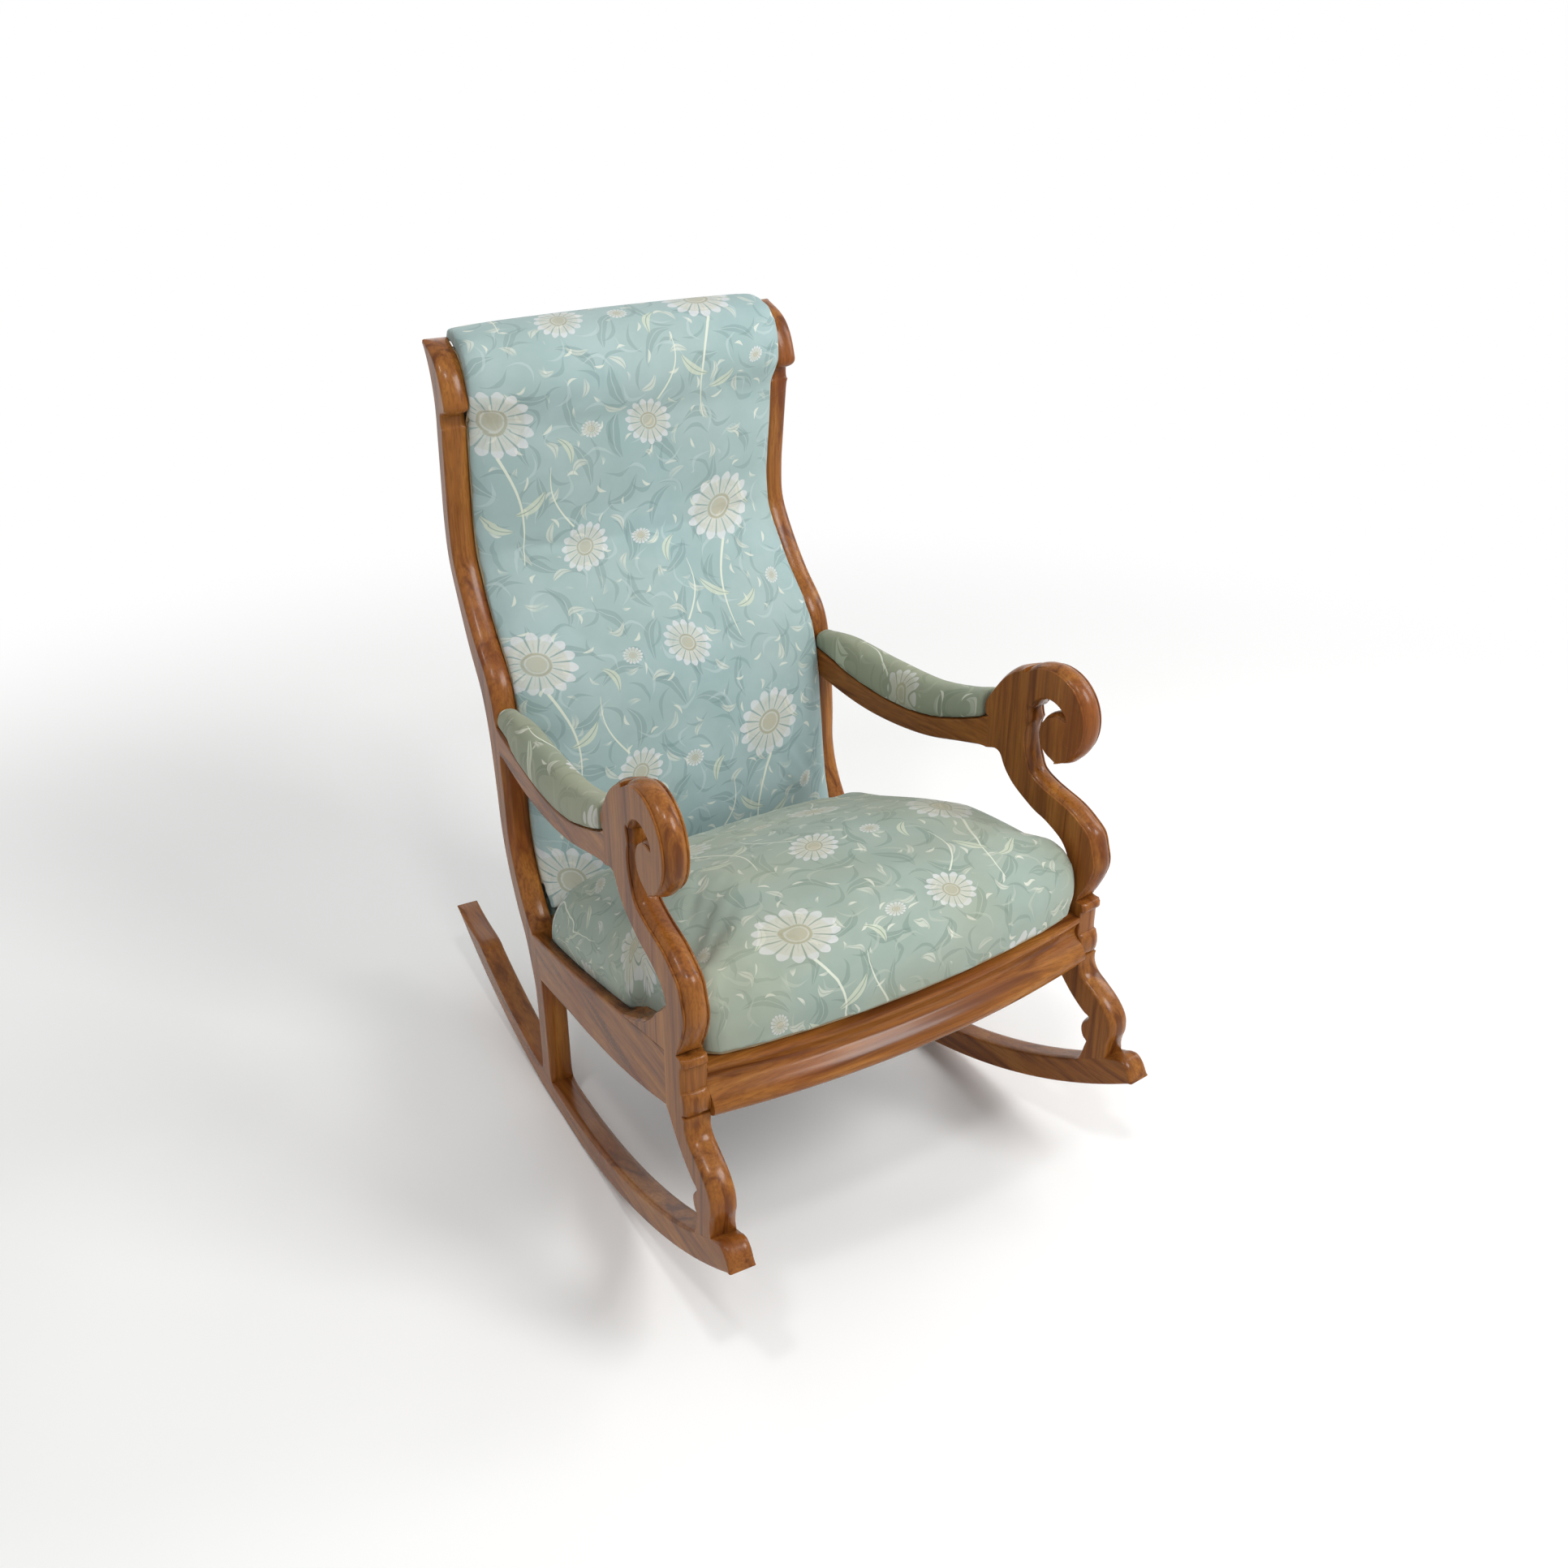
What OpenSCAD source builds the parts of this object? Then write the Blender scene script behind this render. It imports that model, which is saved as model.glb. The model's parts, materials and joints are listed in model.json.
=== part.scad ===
// Upholstered scroll-arm rocking chair on two curved runners.
// Left and right are as seen from in front.
// "back" is a distance behind the line where the front rail meets the legs, in a side frame's plane.

/* [Overall] */
// Width over the side frames at the front rail
front_w = 620; // [590:5:660]
// Angle by which each side frame turns in towards the back, in degrees
splay = 4.25; // [3:0.25:5.5]
// Thickness of the side frame boards
board_t = 33; // [30:1:36]
// Height of the stile tops
back_h = 1028; // [1000:2:1060]
// Distance from the front rail to the rear leg
seat_depth = 454; // [440:2:470]
// Steps in each curve between two drawn points
curve_steps = 4; // [2:1:6]

/* [Rockers] */
// Radius of a rocker's underside
rocker_r = 915; // [880:5:960]
// Height of a rocker's section
rocker_h = 38; // [34:1:42]
// Place where the chair rests, behind the front rail
rest_back = 420; // [405:1:445]
// Length of the flat under each rocker on which the chair stands
rest_flat = 130; // [100:2:150]
// Reach of the rockers in front of the front rail
front_reach = 110; // [102:1:120]
// Reach of the rockers behind the front rail
rear_reach = 855; // [835:1:875]
// Length of a rocker's rounded nose
nose_d = 36; // [30:1:40]
// Length of the taper at a rocker's rear end
tail_taper = 105; // [85:1:125]
// Thickness left near the rear tip
tail_tip = 8; // [6:0.5:12]

/* [Front legs] */
// Height of the top of a front leg's block
block_top = 384; // [378:1:392]
// Depth of the block along the side frame
block_d = 45; // [42:1:50]
// Distance of the block's front face behind the front rail's line
block_front = 3; // [1:0.5:6]
// Height of the foot of the low bead on the block
block_foot = 305; // [300:1:310]
// Height of the low bead
low_bead_h = 33; // [26:1:38]
// Height of the top bead
top_bead_h = 13; // [9:1:16]
// How far the low bead stands in front of the block
bead_out = 8; // [5:0.5:10]
// Reach of the knee in front of the front rail's line
knee_out = 68; // [62:1:74]
// Height of the foot of the drawn leg, inside the rocker
leg_foot = 150; // [146:1:154]

/* [Side rails] */
// Height of a side rail's top edge at the block
rail_front_top = 371; // [366:1:376]
// Height of a side rail's lower edge at the block
rail_front_low = 292; // [286:1:298]
// Fall of the top edge to the stile
rail_drop = 103; // [96:1:110]
// Fall of the lower edge to the stile
rail_low_drop = 84; // [78:1:90]
// Depth of the rebate that takes the seat upholstery
rebate_h = 14; // [10:1:18]
// Width of wood left showing beside the rebate
show_w = 16; // [12:1:20]

/* [Cross rails] */
// Height of the front rail's top edge
front_rail_top = 366; // [362:1:370]
// Height of the front rail
front_rail_h = 67; // [61:1:70]
// Thickness of the front rail's body
front_rail_t = 30; // [26:1:34]
// How far the middle of the front rail bows forward
front_bow = 27; // [18:1:34]
// How far the lower band stands in front of the top edge
band_out = 16; // [12:1:18]
// Height of the rear seat rail
rear_rail_h = 60; // [50:1:64]
// Height of the foot of the lower back rail
low_back_rail_foot = 322; // [315:1:330]
// Height of the lower back rail
low_back_rail_h = 50; // [40:1:60]
// Thickness of the rear seat rail
rear_rail_t = 24; // [18:1:26]
// Leg length of a corner block
corner_leg = 62; // [48:1:66]
// Height of a corner block
corner_h = 32; // [24:1:36]

/* [Back stiles] */
// Depth of a stile at the leg
stile_d = 36; // [34:0.5:38]
// Lean of a stile from the leg to its rearmost point
lean = 218; // [208:1:228]
// Height of the stile's bend above the arm, from which the upper back stretches
bend_h = 546; // [540:1:552]
// Height of a stile's rolled head
head_h = 102; // [96:1:108]
// Depth of a stile's rolled head
head_d = 68; // [64:1:72]

/* [Arms] */
// Distance from the front rail to the joint of arm and support
arm_back = 190; // [186:1:194]
// Rise from the front leg's block to the scroll's centre
scroll_rise = 234; // [228:1:240]
// Fall from the scroll's centre to the neck, below which the support stretches
neck_fall = 111; // [107:1:115]
// Distance of the scroll's centre behind the front rail
scroll_back = 89; // [87:0.5:91]
// Radius of the scroll
scroll_r = 63; // [61:0.5:65]
// Radius of the eye inside the scroll
eye_r = 31; // [29:0.5:32]
// Radius of the rounded end of the curl
curl_r = 32; // [30:0.5:33]
// Fall from the scroll's centre to the arm's lowest point
arm_fall = 122; // [116:1:128]
// Rise of the arm from its lowest point to the support
arm_rise = 37; // [33:1:41]
// Height of the arm's wood in its middle
arm_wood_h = 34; // [31:1:37]
// Height of the arm pad at its crown
pad_crown = 57; // [46:1:62]
// How far the arm pad bulges past the wood on each side
pad_bulge = 6; // [3:0.5:8]

/* [Seat upholstery] */
// Crown of the seat above the rebate
seat_crown = 168; // [150:1:175]
// Bulge of the seat's side over the side rail
seat_bulge = 4; // [2:0.5:6]
// Rise of the sprung middle above the rebate
spring_rise = 96; // [80:2:100]
// Wire thickness of a seat spring
spring_wire = 3.6; // [3:0.2:4.4]
// Radius of a seat spring at its ends
spring_r = 38; // [34:1:40]
// Coils in a seat spring
spring_coils = 4; // [3:1:5]
// Width of the webbing
web_w = 50; // [40:1:54]
// Thickness of webbing and canvas
cloth_t = 1.6; // [1.2:0.1:2]

/* [Back upholstery] */
// Depth of the back padding at its fullest place
back_crown = 66; // [58:1:70]
// Depth of the padding's back face behind the stiles' front line
back_inset = 3; // [2:0.5:4]
// Depth of the outside back cover inside the stiles' rear line
cover_inset = 1.5; // [1:0.5:2.5]

/* [Fixings] */
// Diameter of the dowels
dowel_dia = 10; // [8:0.5:11]
// Length of the dowels
dowel_len = 44; // [36:1:46]
// Diameter of a screw's shank
screw_dia = 5; // [4:0.5:6]
// Diameter of a screw's head
screw_head = 9; // [8:0.5:10]
// Length of a corner block screw
block_screw_len = 46; // [40:1:50]
// Length of an arm screw
arm_screw_len = 64; // [56:1:70]

/* [Hidden] */
$fn = 72;
// clearance round dowels and screws, gap that soft pieces keep, and overrun of a cutting shape
play = 0.15;
soft_gap = 0.3;
overrun = 5;
dust_t = cloth_t / 2;

wood_color = [0.52, 0.29, 0.13];
inner_wood_color = [0.72, 0.56, 0.36];
cloth_color = [0.60, 0.68, 0.62];
web_color = [0.66, 0.56, 0.40];
canvas_color = [0.74, 0.66, 0.50];
dust_color = [0.20, 0.19, 0.18];
steel_color = [0.55, 0.55, 0.56];

// half the depth of the chair, which puts the origin at the middle of the base
depth_middle = ((rear_reach - front_reach) * cos(splay) - board_t * sin(splay)) / 2;

// curve through drawn points
function blend(a, b, c, d, t) =
    0.5 * (2 * b + (c - a) * t + (2 * a - 5 * b + 4 * c - d) * t * t
        + (3 * b - 3 * c + d - a) * t * t * t);
function smooth(pts) =
    let (last = len(pts) - 1)
    concat(
        [for (i = [0 : last - 1]) for (k = [0 : curve_steps - 1])
            blend(pts[max(i - 1, 0)], pts[i], pts[i + 1], pts[min(i + 2, last)], k / curve_steps)],
        [pts[last]]);
function scaled(shares, size) =
    [for (s = shares) [s[0] * size[0], s[1] * size[1]]];
function moved(pts, by) = [for (p = pts) [p[0] + by[0], p[1] + by[1]]];
function drawn(shares, size, from) = smooth(moved(scaled(shares, size), from));
function reversed(pts) = [for (i = [len(pts) - 1 : -1 : 0]) pts[i]];
function thinned(pts, step) =
    [for (i = [0 : len(pts) - 1]) if (i % step == 0 || i == len(pts) - 1) pts[i]];

// the second value of a row at a given first value, straight between rows
function lookup_row(rows, x, i = 0) =
    i >= len(rows) - 2 || x < rows[i + 1][0]
        ? rows[i][1] + (rows[i + 1][1] - rows[i][1]) * (x - rows[i][0]) / (rows[i + 1][0] - rows[i][0])
        : lookup_row(rows, x, i + 1);
function swapped(pts) = [for (p = pts) [p[1], p[0]]];

// a line of points moved sideways, to its right as it is drawn
function heading(line, i) =
    let (a = line[max(i - 1, 0)], b = line[min(i + 1, len(line) - 1)],
        d = [b[0] - a[0], b[1] - a[1]])
    d / norm(d);
function aside(line, i, by) =
    let (h = heading(line, i))
    [line[i][0] + h[1] * by, line[i][1] - h[0] * by];
function beside(line, by) = [for (i = [0 : len(line) - 1]) aside(line, i, by)];
function strip_edge(rows, side) =
    [for (i = [0 : len(rows) - 1]) aside(rows, i, side * rows[i][2] / 2)];

// half width between the side frames, and the place on their inner faces that a side view's place has
function half_inside(y) = front_w / 2 - board_t / cos(splay) - y * tan(splay);
function inner_y(back) = back * cos(splay) - board_t * sin(splay);

// rocker arcs, whose lowest part is worn flat at the floor
rest_sag = rocker_r - sqrt(rocker_r * rocker_r - rest_flat * rest_flat / 4);
rocker_centre_z = rocker_r - rest_sag;
rocker_top_r = rocker_r - rocker_h;
arc_step_angle = 1.6;
function arc_z(back, r) = rocker_centre_z - sqrt(r * r - pow(back - rest_back, 2));
function arc_points(r, from, to) =
    let (a0 = asin((from - rest_back) / r), a1 = asin((to - rest_back) / r),
        n = ceil(abs(a1 - a0) / arc_step_angle))
    [for (k = [0 : n])
        let (a = a0 + (a1 - a0) * k / n)
        [rest_back + r * sin(a), rocker_centre_z - r * cos(a)]];
nose_shares = [[-0.22, 0.1], [-0.42, 0.12], [-0.62, 0.03], [-0.8, -0.14], [-0.93, -0.36], [-1, -0.55]];
nose_back = -front_reach + nose_d;
nose_low_share = 0.08;
tail_start = rear_reach - tail_taper;
tail_shares = [0.48, 0.88, 1];
tail_heights = [rocker_h * 0.6, tail_tip, tail_tip * 0.25];
tail_points = [for (k = [0 : 2])
    let (back = tail_start + tail_shares[k] * tail_taper)
    [back, arc_z(back, rocker_r) + tail_heights[k]]];
rocker_outline = concat(
    arc_points(rocker_r, -front_reach + nose_d * nose_low_share, rest_back - rest_flat / 2),
    arc_points(rocker_r, rest_back + rest_flat / 2, rear_reach),
    reversed(tail_points),
    reversed(arc_points(rocker_top_r, nose_back, tail_start)),
    moved(scaled(nose_shares, [nose_d, rocker_h]), [nose_back, arc_z(nose_back, rocker_top_r)]));

// front leg, as shares of the knee's reach and of the height from its foot to the block
leg_front_shares = [[-0.92, 0], [-0.92, 0.2], [-0.95, 0.34], [-1, 0.44], [-0.95, 0.57], [-0.74, 0.68],
    [-0.47, 0.76], [-0.2, 0.83], [-0.08, 0.9], [-0.04, 0.995]];
leg_rear_shares = [[0.64, 0.9], [0.48, 0.78], [0.12, 0.62], [-0.24, 0.51], [-0.4, 0.49]];
leg_nub_shares = [[-0.36, 0.45], [-0.26, 0.4], [-0.24, 0.34], [-0.3, 0.27], [-0.4, 0.24]];
leg_base_shares = [[-0.35, 0.16], [-0.29, 0]];
leg_scale = [knee_out, block_foot - leg_foot];
function leg_points(shares) = drawn(shares, leg_scale, [0, leg_foot]);

// beads on the front of the block, as shares of their own reach and height
bead_shares = [[0, 0.03], [-0.7, 0.12], [-1, 0.42], [-0.85, 0.75], [-0.35, 0.95], [0, 1]];
top_bead_share = 0.62;
block_points = concat(
    drawn(bead_shares, [bead_out, low_bead_h], [block_front, block_foot]),
    drawn(bead_shares, [bead_out * top_bead_share, top_bead_h], [block_front, block_top - top_bead_h]),
    [[block_d, block_top], [block_d, rail_front_low]]);
leg_outline = concat(
    leg_points(leg_front_shares),
    block_points,
    leg_points(leg_rear_shares),
    leg_points(leg_nub_shares),
    leg_points(leg_base_shares));

// side rail, as shares of the way from block to leg and of each edge's fall
rail_run = seat_depth - block_d;
rail_top_shares = [[0, 0], [0.2, -0.195], [0.45, -0.455], [0.72, -0.71], [1, -0.92], [1.12, -1]];
rail_low_shares = [[0, 0], [0.13, -0.21], [0.26, -0.39], [0.38, -0.53], [0.5, -0.64], [0.62, -0.74],
    [0.75, -0.82], [0.87, -0.91], [1, -1], [1.1, -1.06]];
rail_top = drawn(rail_top_shares, [rail_run, rail_drop], [block_d, rail_front_top]);
rail_low = drawn(rail_low_shares, [rail_run, rail_low_drop], [block_d, rail_front_low]);
function rail_top_z(back) = lookup_row(rail_top, back);
function rail_low_z(back) = lookup_row(rail_low, back);

// stile middle line: shares of the lean behind the leg, of the back's height, and of the stile's depth
leg_middle_share = 0.44;
leg_middle = seat_depth + stile_d * leg_middle_share;
stile_shares = [[0, 0.02, 1], [0, 0.1, 0.97], [0.005, 0.16, 0.95], [0.03, 0.195, 1], [0.115, 0.249, 1.1],
    [0.243, 0.288, 1], [0.358, 0.337, 0.92], [0.417, 0.385, 0.92], [0.431, 0.434, 1], [0.45, 0.482, 1.05],
    [0.482, 0.531, 1.12], [0.555, 0.58, 1.2], [0.729, 0.628, 1], [0.872, 0.677, 0.8], [0.982, 0.726, 0.72],
    [1, 0.774, 0.72], [0.982, 0.823, 0.72], [0.959, 0.872, 0.72], [0.945, 0.901, 0.72]];
bend_share = 0.531;
head_share = 0.901;
function back_z(share) =
    share < bend_share
        ? bend_h * share / bend_share
        : bend_h + (back_h - head_h - bend_h) * (share - bend_share) / (head_share - bend_share);
stile_line = smooth([for (s = stile_shares) [leg_middle + s[0] * lean, back_z(s[1])]]);
stile_widths = smooth([for (s = stile_shares) [s[2] * stile_d, 0]]);
stile_rows = [for (i = [0 : len(stile_line) - 1]) concat(stile_line[i], stile_widths[i][0])];
stile_front = strip_edge(stile_rows, -1);
stile_rear = strip_edge(stile_rows, 1);

// rolled head of a stile, as shares of its own depth and height
head_front_shares = [[0.3, -0.08], [0.31, 0.1], [0.28, 0.16], [0.15, 0.19], [0.04, 0.225], [0, 0.285],
    [0.025, 0.37], [0.09, 0.51], [0.19, 0.66], [0.34, 0.795], [0.53, 0.89], [0.76, 0.96], [0.97, 1]];
head_rear_shares = [[1.01, 0.96], [0.91, 0.84], [0.78, 0.67], [0.68, 0.45], [0.64, 0.23], [0.66, -0.08]];
head_top_share = 0.945;
head_middle_share = 0.47;
head_from = [leg_middle + lean * head_top_share - head_d * head_middle_share, back_h - head_h];
head_front = drawn(head_front_shares, [head_d, head_h], head_from);
head_rear = drawn(head_rear_shares, [head_d, head_h], head_from);

// front and rear lines of a whole stile
front_line = concat(
    [for (p = stile_front) if (p[1] < head_from[1]) p],
    [for (p = head_front) if (p[1] > head_from[1]) p]);
rear_line = concat(
    [for (p = stile_rear) if (p[1] < head_from[1]) p],
    [for (p = reversed(head_rear)) if (p[1] > head_from[1]) p]);
stile_outline = concat(rear_line, reversed(front_line));
behind_front = concat(stile_front, [[rear_reach, back_h], [rear_reach, 0]]);
function front_at(height) = lookup_row(swapped(stile_front), height);
function rear_at(height) = lookup_row(swapped(stile_rear), height);

// arm: shares of its run and rise, and of its wood's height
scroll_height = block_top + scroll_rise;
arm_low = scroll_height - arm_fall;
arm_end_share = 0.482;
arm_run = leg_middle + lean * arm_end_share - arm_back;
arm_low_shares = [[0, 1.05], [0.15, 0.64], [0.28, 0.28], [0.41, 0.08], [0.55, 0], [0.68, 0.05], [0.81, 0.24],
    [0.91, 0.46], [1, 0.68]];
arm_depth_shares = [[0, 1.32], [0.07, 1.17], [0.16, 1.03], [0.29, 0.94], [0.42, 0.94], [0.55, 1],
    [0.68, 1.09], [0.81, 1.12], [0.92, 1.09], [1, 1.06]];
arm_under = drawn(arm_low_shares, [arm_run, arm_rise], [arm_back, arm_low]);
arm_depth_rows = drawn(arm_depth_shares, [arm_run, arm_wood_h], [arm_back, 0]);
arm_over = [for (p = arm_under) [p[0], p[1] + lookup_row(arm_depth_rows, p[0])]];
function arm_top_z(back) = lookup_row(arm_over, back);
function arm_low_z(back) = lookup_row(arm_under, back);
arm_joint_low = arm_low_z(arm_back);
arm_joint_top = arm_top_z(arm_back);

// arm support: shares of the arm joint's place and of the rise from block to scroll centre
support_front_shares = [[0.07, 0], [0, 0.088], [-0.053, 0.198], [-0.066, 0.273], [-0.042, 0.35], [0, 0.436],
    [0.09, 0.493], [0.22, 0.546], [0.437, 0.591], [0.56, 0.633], [0.6, 0.686], [0.635, 0.76],
    [0.645, 0.842], [0.628, 0.917]];
shoulder_shares = [[0.7, 1.203], [0.8, 1.168], [0.9, 1.1], [0.99, 1.004], [1.047, 0.93], [1.055, 0.884],
    [1.03, 0.849]];
support_rear_shares = [[0.94, 0.66], [0.885, 0.653], [0.84, 0.595], [0.79, 0.547], [0.71, 0.493],
    [0.54, 0.418], [0.41, 0.383], [0.285, 0.332], [0.23, 0.29], [0.2, 0.25]];
foot_shares = [[0.215, 0.222], [0.274, 0.172], [0.353, 0.115], [0.437, 0.035], [0.568, -0.057],
    [0.71, -0.128], [0.868, -0.182]];
neck_share = 0.54;
function support_z(share) =
    share < neck_share
        ? block_top + (scroll_rise - neck_fall) * share / neck_share
        : scroll_height - neck_fall * (1 - share) / (1 - neck_share);
function support_points(shares) = smooth([for (s = shares) [s[0] * arm_back, support_z(s[1])]]);
foot_points = support_points(foot_shares);
foot_end = foot_points[len(foot_points) - 1][0];
support_outline = concat(
    support_points(support_front_shares),
    support_points(shoulder_shares),
    [[arm_back, arm_joint_top], [arm_back, arm_joint_low]],
    support_points(support_rear_shares),
    foot_points,
    [[foot_end, rail_front_low], [block_d, rail_front_low], [block_d, block_top]]);
below_rail_top = concat(rail_top, [[rear_reach, 0], [block_d, 0]]);
shoulder_share = 1.062;
shoulder_back = arm_back * shoulder_share;

// scroll: a ring whose lower end is a rounded curl, with a gap before the neck
eye_shares = [-0.016, -0.19];
curl_shares = [-0.27, -0.43];
gap_shares = [0.83, 1.05];

// back padding: where its back face runs, and how far it stands forward and up, as shares
lower_back_shares = [[0.284, 0.3, 0.04], [0.313, 0.52, 0.1], [0.34, 0.8, 0.16], [0.375, 1.03, 0.12],
    [0.409, 1.0, 0.04], [0.438, 0.88, 0], [0.486, 0.74, 0], [0.535, 0.67, 0.05], [0.575, 0.6, 0.2],
    [0.61, 0.5, 0.36], [0.645, 0.49, 0.42], [0.681, 0.53, 0.36], [0.726, 0.62, 0.15], [0.774, 0.65, 0],
    [0.823, 0.65, -0.04], [0.87, 0.62, -0.06]];
head_back_shares = [[0.31, 0.03, 0.62, -0.08], [0.2, 0.12, 0.62, 0.02], [0.04, 0.27, 0.55, 0.1],
    [0.05, 0.4, 0.56, 0.2], [0.11, 0.53, 0.5, 0.36], [0.21, 0.66, 0.42, 0.48], [0.36, 0.79, 0.3, 0.5],
    [0.54, 0.87, 0.14, 0.46], [0.77, 0.935, 0.04, 0.4], [0.95, 0.965, -0.06, 0.28], [0.97, 0.9, -0.14, 0.12]];
back_rows = concat(
    [for (s = lower_back_shares)
        [front_at(back_z(s[0])) + back_inset, back_z(s[0]), s[1] * back_crown, s[2] * back_crown]],
    [for (s = head_back_shares)
        [head_from[0] + s[0] * head_d + back_inset, head_from[1] + s[1] * head_h,
            s[2] * back_crown, s[3] * back_crown]]);

// layers behind the padding, and layers inside the outside back, as lines in the side view
padding_line = [for (row = back_rows) [row[0], row[1]]];
canvas_front = soft_gap;
webbing_front = canvas_front + cloth_t;
rail_front_line = beside(padding_line, webbing_front + cloth_t + soft_gap);
cover_top_share = 0.89;
cover_line = thinned([for (p = rear_line) if (p[1] < head_from[1] + head_h * cover_top_share) p], 3);
cover_rear = beside(cover_line, -cover_inset);
cover_front = beside(cover_line, -cover_inset - cloth_t);
rail_rear_line = beside(cover_line, -cover_inset - cloth_t - soft_gap);

// cross rails: each runs between two lines of the side view
function span_of(line, from, to) = concat(
    [[lookup_row(swapped(line), from), from]],
    [for (p = line) if (p[1] > from && p[1] < to) p],
    [[lookup_row(swapped(line), to), to]]);
function rail_profile(from, to, front) =
    concat(span_of(rail_rear_line, from, to), reversed(span_of(front, from, to)));
rear_rail_low = rail_low_z(seat_depth + rear_rail_t / 2);
crest_shares = [0.42, 0.86];
crest_span = [for (share = crest_shares) head_from[1] + head_h * share];
crest_dowel_shares = [0.5, 0.6];

// underside of the seat frame, where webbing and dust cover lie
front_rail_low = front_rail_top - front_rail_h;
under_front = front_rail_t / 3;
rear_rail_rear = lookup_row(swapped(rail_rear_line), rear_rail_low);
rear_rail_front = rear_rail_rear - rear_rail_t;
under_from = block_d + front_rail_t / 2;
under_to = rear_rail_front - front_rail_t / 2;
under_line = concat(
    [[under_front, front_rail_low], [front_rail_t, front_rail_low]],
    [for (p = rail_low) if (p[0] > under_from && p[0] < under_to) p],
    [[rear_rail_front, rear_rail_low], [rear_rail_rear, rear_rail_low]]);

// seat upholstery: its base line, its plan and the height of its padding
foot_y = foot_end * cos(splay) + overrun;
ledge_w = (board_t - show_w) / cos(splay);
seat_rear = rear_rail_front;
seat_front_inset = 4;
seat_slope = atan(rail_drop / rail_run);
bow_half = half_inside(0);
bow_r = (bow_half * bow_half + front_bow * front_bow) / (2 * front_bow);
function bow_y(x, r) = bow_r - front_bow - sqrt(r * r - x * x);
function seat_floor(y) =
    y < block_d
        ? front_rail_top
        : y < block_d + front_rail_t
            ? front_rail_top + (rail_top_z(block_d + front_rail_t) - rebate_h - front_rail_top)
                * (y - block_d) / front_rail_t
            : rail_top_z(y / cos(splay)) - rebate_h;
crown_shares = [[-0.06, 0.68], [0, 0.72], [0.13, 0.79], [0.26, 0.89], [0.37, 0.965], [0.42, 0.97],
    [0.5, 0.94], [0.66, 0.87], [0.84, 0.79], [1.1, 0.74]];
crown_fall_share = 0.13;
function crown_at(x, y) =
    seat_crown * lookup_row(crown_shares, y / seat_depth)
        * (1 - crown_fall_share * pow(x / half_inside(y), 2));

// the seat's plan is drawn as shares of half its width and of its depth, once round from the front
front_plan_shares = [[-0.78, 0], [-0.52, 0], [-0.26, 0], [0, 0], [0.26, 0], [0.52, 0], [0.78, 0]];
side_plan_shares = [[0.93, 0.004], [0.985, 0.022], [1, 0.06], [1, 0.13], [1, 0.2], [1, 0.27], [1, 0.34],
    [1, 0.39], [1, 0.43], [1, 0.5], [1, 0.58], [1, 0.66], [1, 0.74], [1, 0.82], [1, 0.9], [0.99, 0.97],
    [0.94, 1]];
rear_plan_shares = [[0.66, 1], [0.33, 1], [0, 1], [-0.33, 1], [-0.66, 1]];
plan_shares = concat(
    front_plan_shares,
    side_plan_shares,
    rear_plan_shares,
    [for (s = reversed(side_plan_shares)) [-s[0], s[1]]]);
front_ease_share = 0.6;
function plan_half(y, inset) =
    half_inside(y) - soft_gap
        + (y < foot_y ? -max(inset - min(inset * front_ease_share, ledge_w), 0) : ledge_w - inset);
function plan_point(s, inset, rear) =
    let (x0 = s[0] * (half_inside(0) - max(inset, 0)),
        front = bow_y(x0, bow_r) + seat_front_inset + inset,
        y = front + s[1] * (rear - inset - front))
    [s[0] * plan_half(y, inset), y];
function seat_ring(inset, lift, crown_share = 0, rear_lean = 0) =
    [for (s = plan_shares)
        let (p = plan_point(s, inset, seat_rear - rear_lean))
        [p[0], p[1], seat_floor(p[1]) + lift + crown_share * crown_at(p[0], p[1])]];

// the sprung middle of the seat, shared by the canvas and the hollow of the padding
spring_inset_shares = [0.12, 0.75, 1, 2, 3];
spring_lift_shares = [0, 0.75, 1, 1, 1];
spring_inset = 60;
sprung_steps = len(spring_inset_shares) - 1;
function sprung_rings(lift) =
    [for (k = [0 : sprung_steps])
        seat_ring(spring_inset * spring_inset_shares[k], lift + spring_rise * spring_lift_shares[k])];
function sprung_middle(lift) =
    let (y = seat_rear / 2)
    [0, y, seat_floor(y) + lift + spring_rise];
padding_lift = cloth_t + 2 * soft_gap;

// padding of the seat: inset and share of the local crown, and how far the rear end leans forward
padding_insets = [0, 0, -seat_bulge, -seat_bulge, 0, 10, 24, 46, 80, 120, 165, 205];
padding_shares = [0.03, 0.14, 0.26, 0.42, 0.6, 0.78, 0.9, 0.965, 0.99, 1, 1, 1];
seat_rear_lean = 22;

// back padding: places across its width, and how much of the full depth it has there
across_inset_shares = [0.002, 0.02, 0.06, 0.13, 0.35, 0.68];
across_depth_shares = [0.12, 0.4, 0.54, 0.65, 0.85, 0.96];
// how far the depth falls off towards the sides, by height in the rolled head
side_fall_rows = [[0, 1], [0.36, 1], [0.8, 0.35], [1, 0.35]];
function depth_at(row, k) =
    1 - (1 - across_depth_shares[k]) * lookup_row(side_fall_rows, (row[1] - head_from[1]) / head_h);
function back_point(row, x_share, depth_share) =
    let (back = row[0] - row[2] * depth_share, y = inner_y(back))
    [x_share * (half_inside(y) - soft_gap), y, row[1] + row[3] * depth_share];
function back_ring(row) = concat(
    [for (k = [0 : 5]) back_point(row, -1 + across_inset_shares[k], depth_at(row, k))],
    [back_point(row, 0, 1)],
    [for (k = [5 : -1 : 0]) back_point(row, 1 - across_inset_shares[k], depth_at(row, k))],
    [back_point(row, 1, 0), back_point(row, 0, 0), back_point(row, -1, 0)]);

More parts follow.
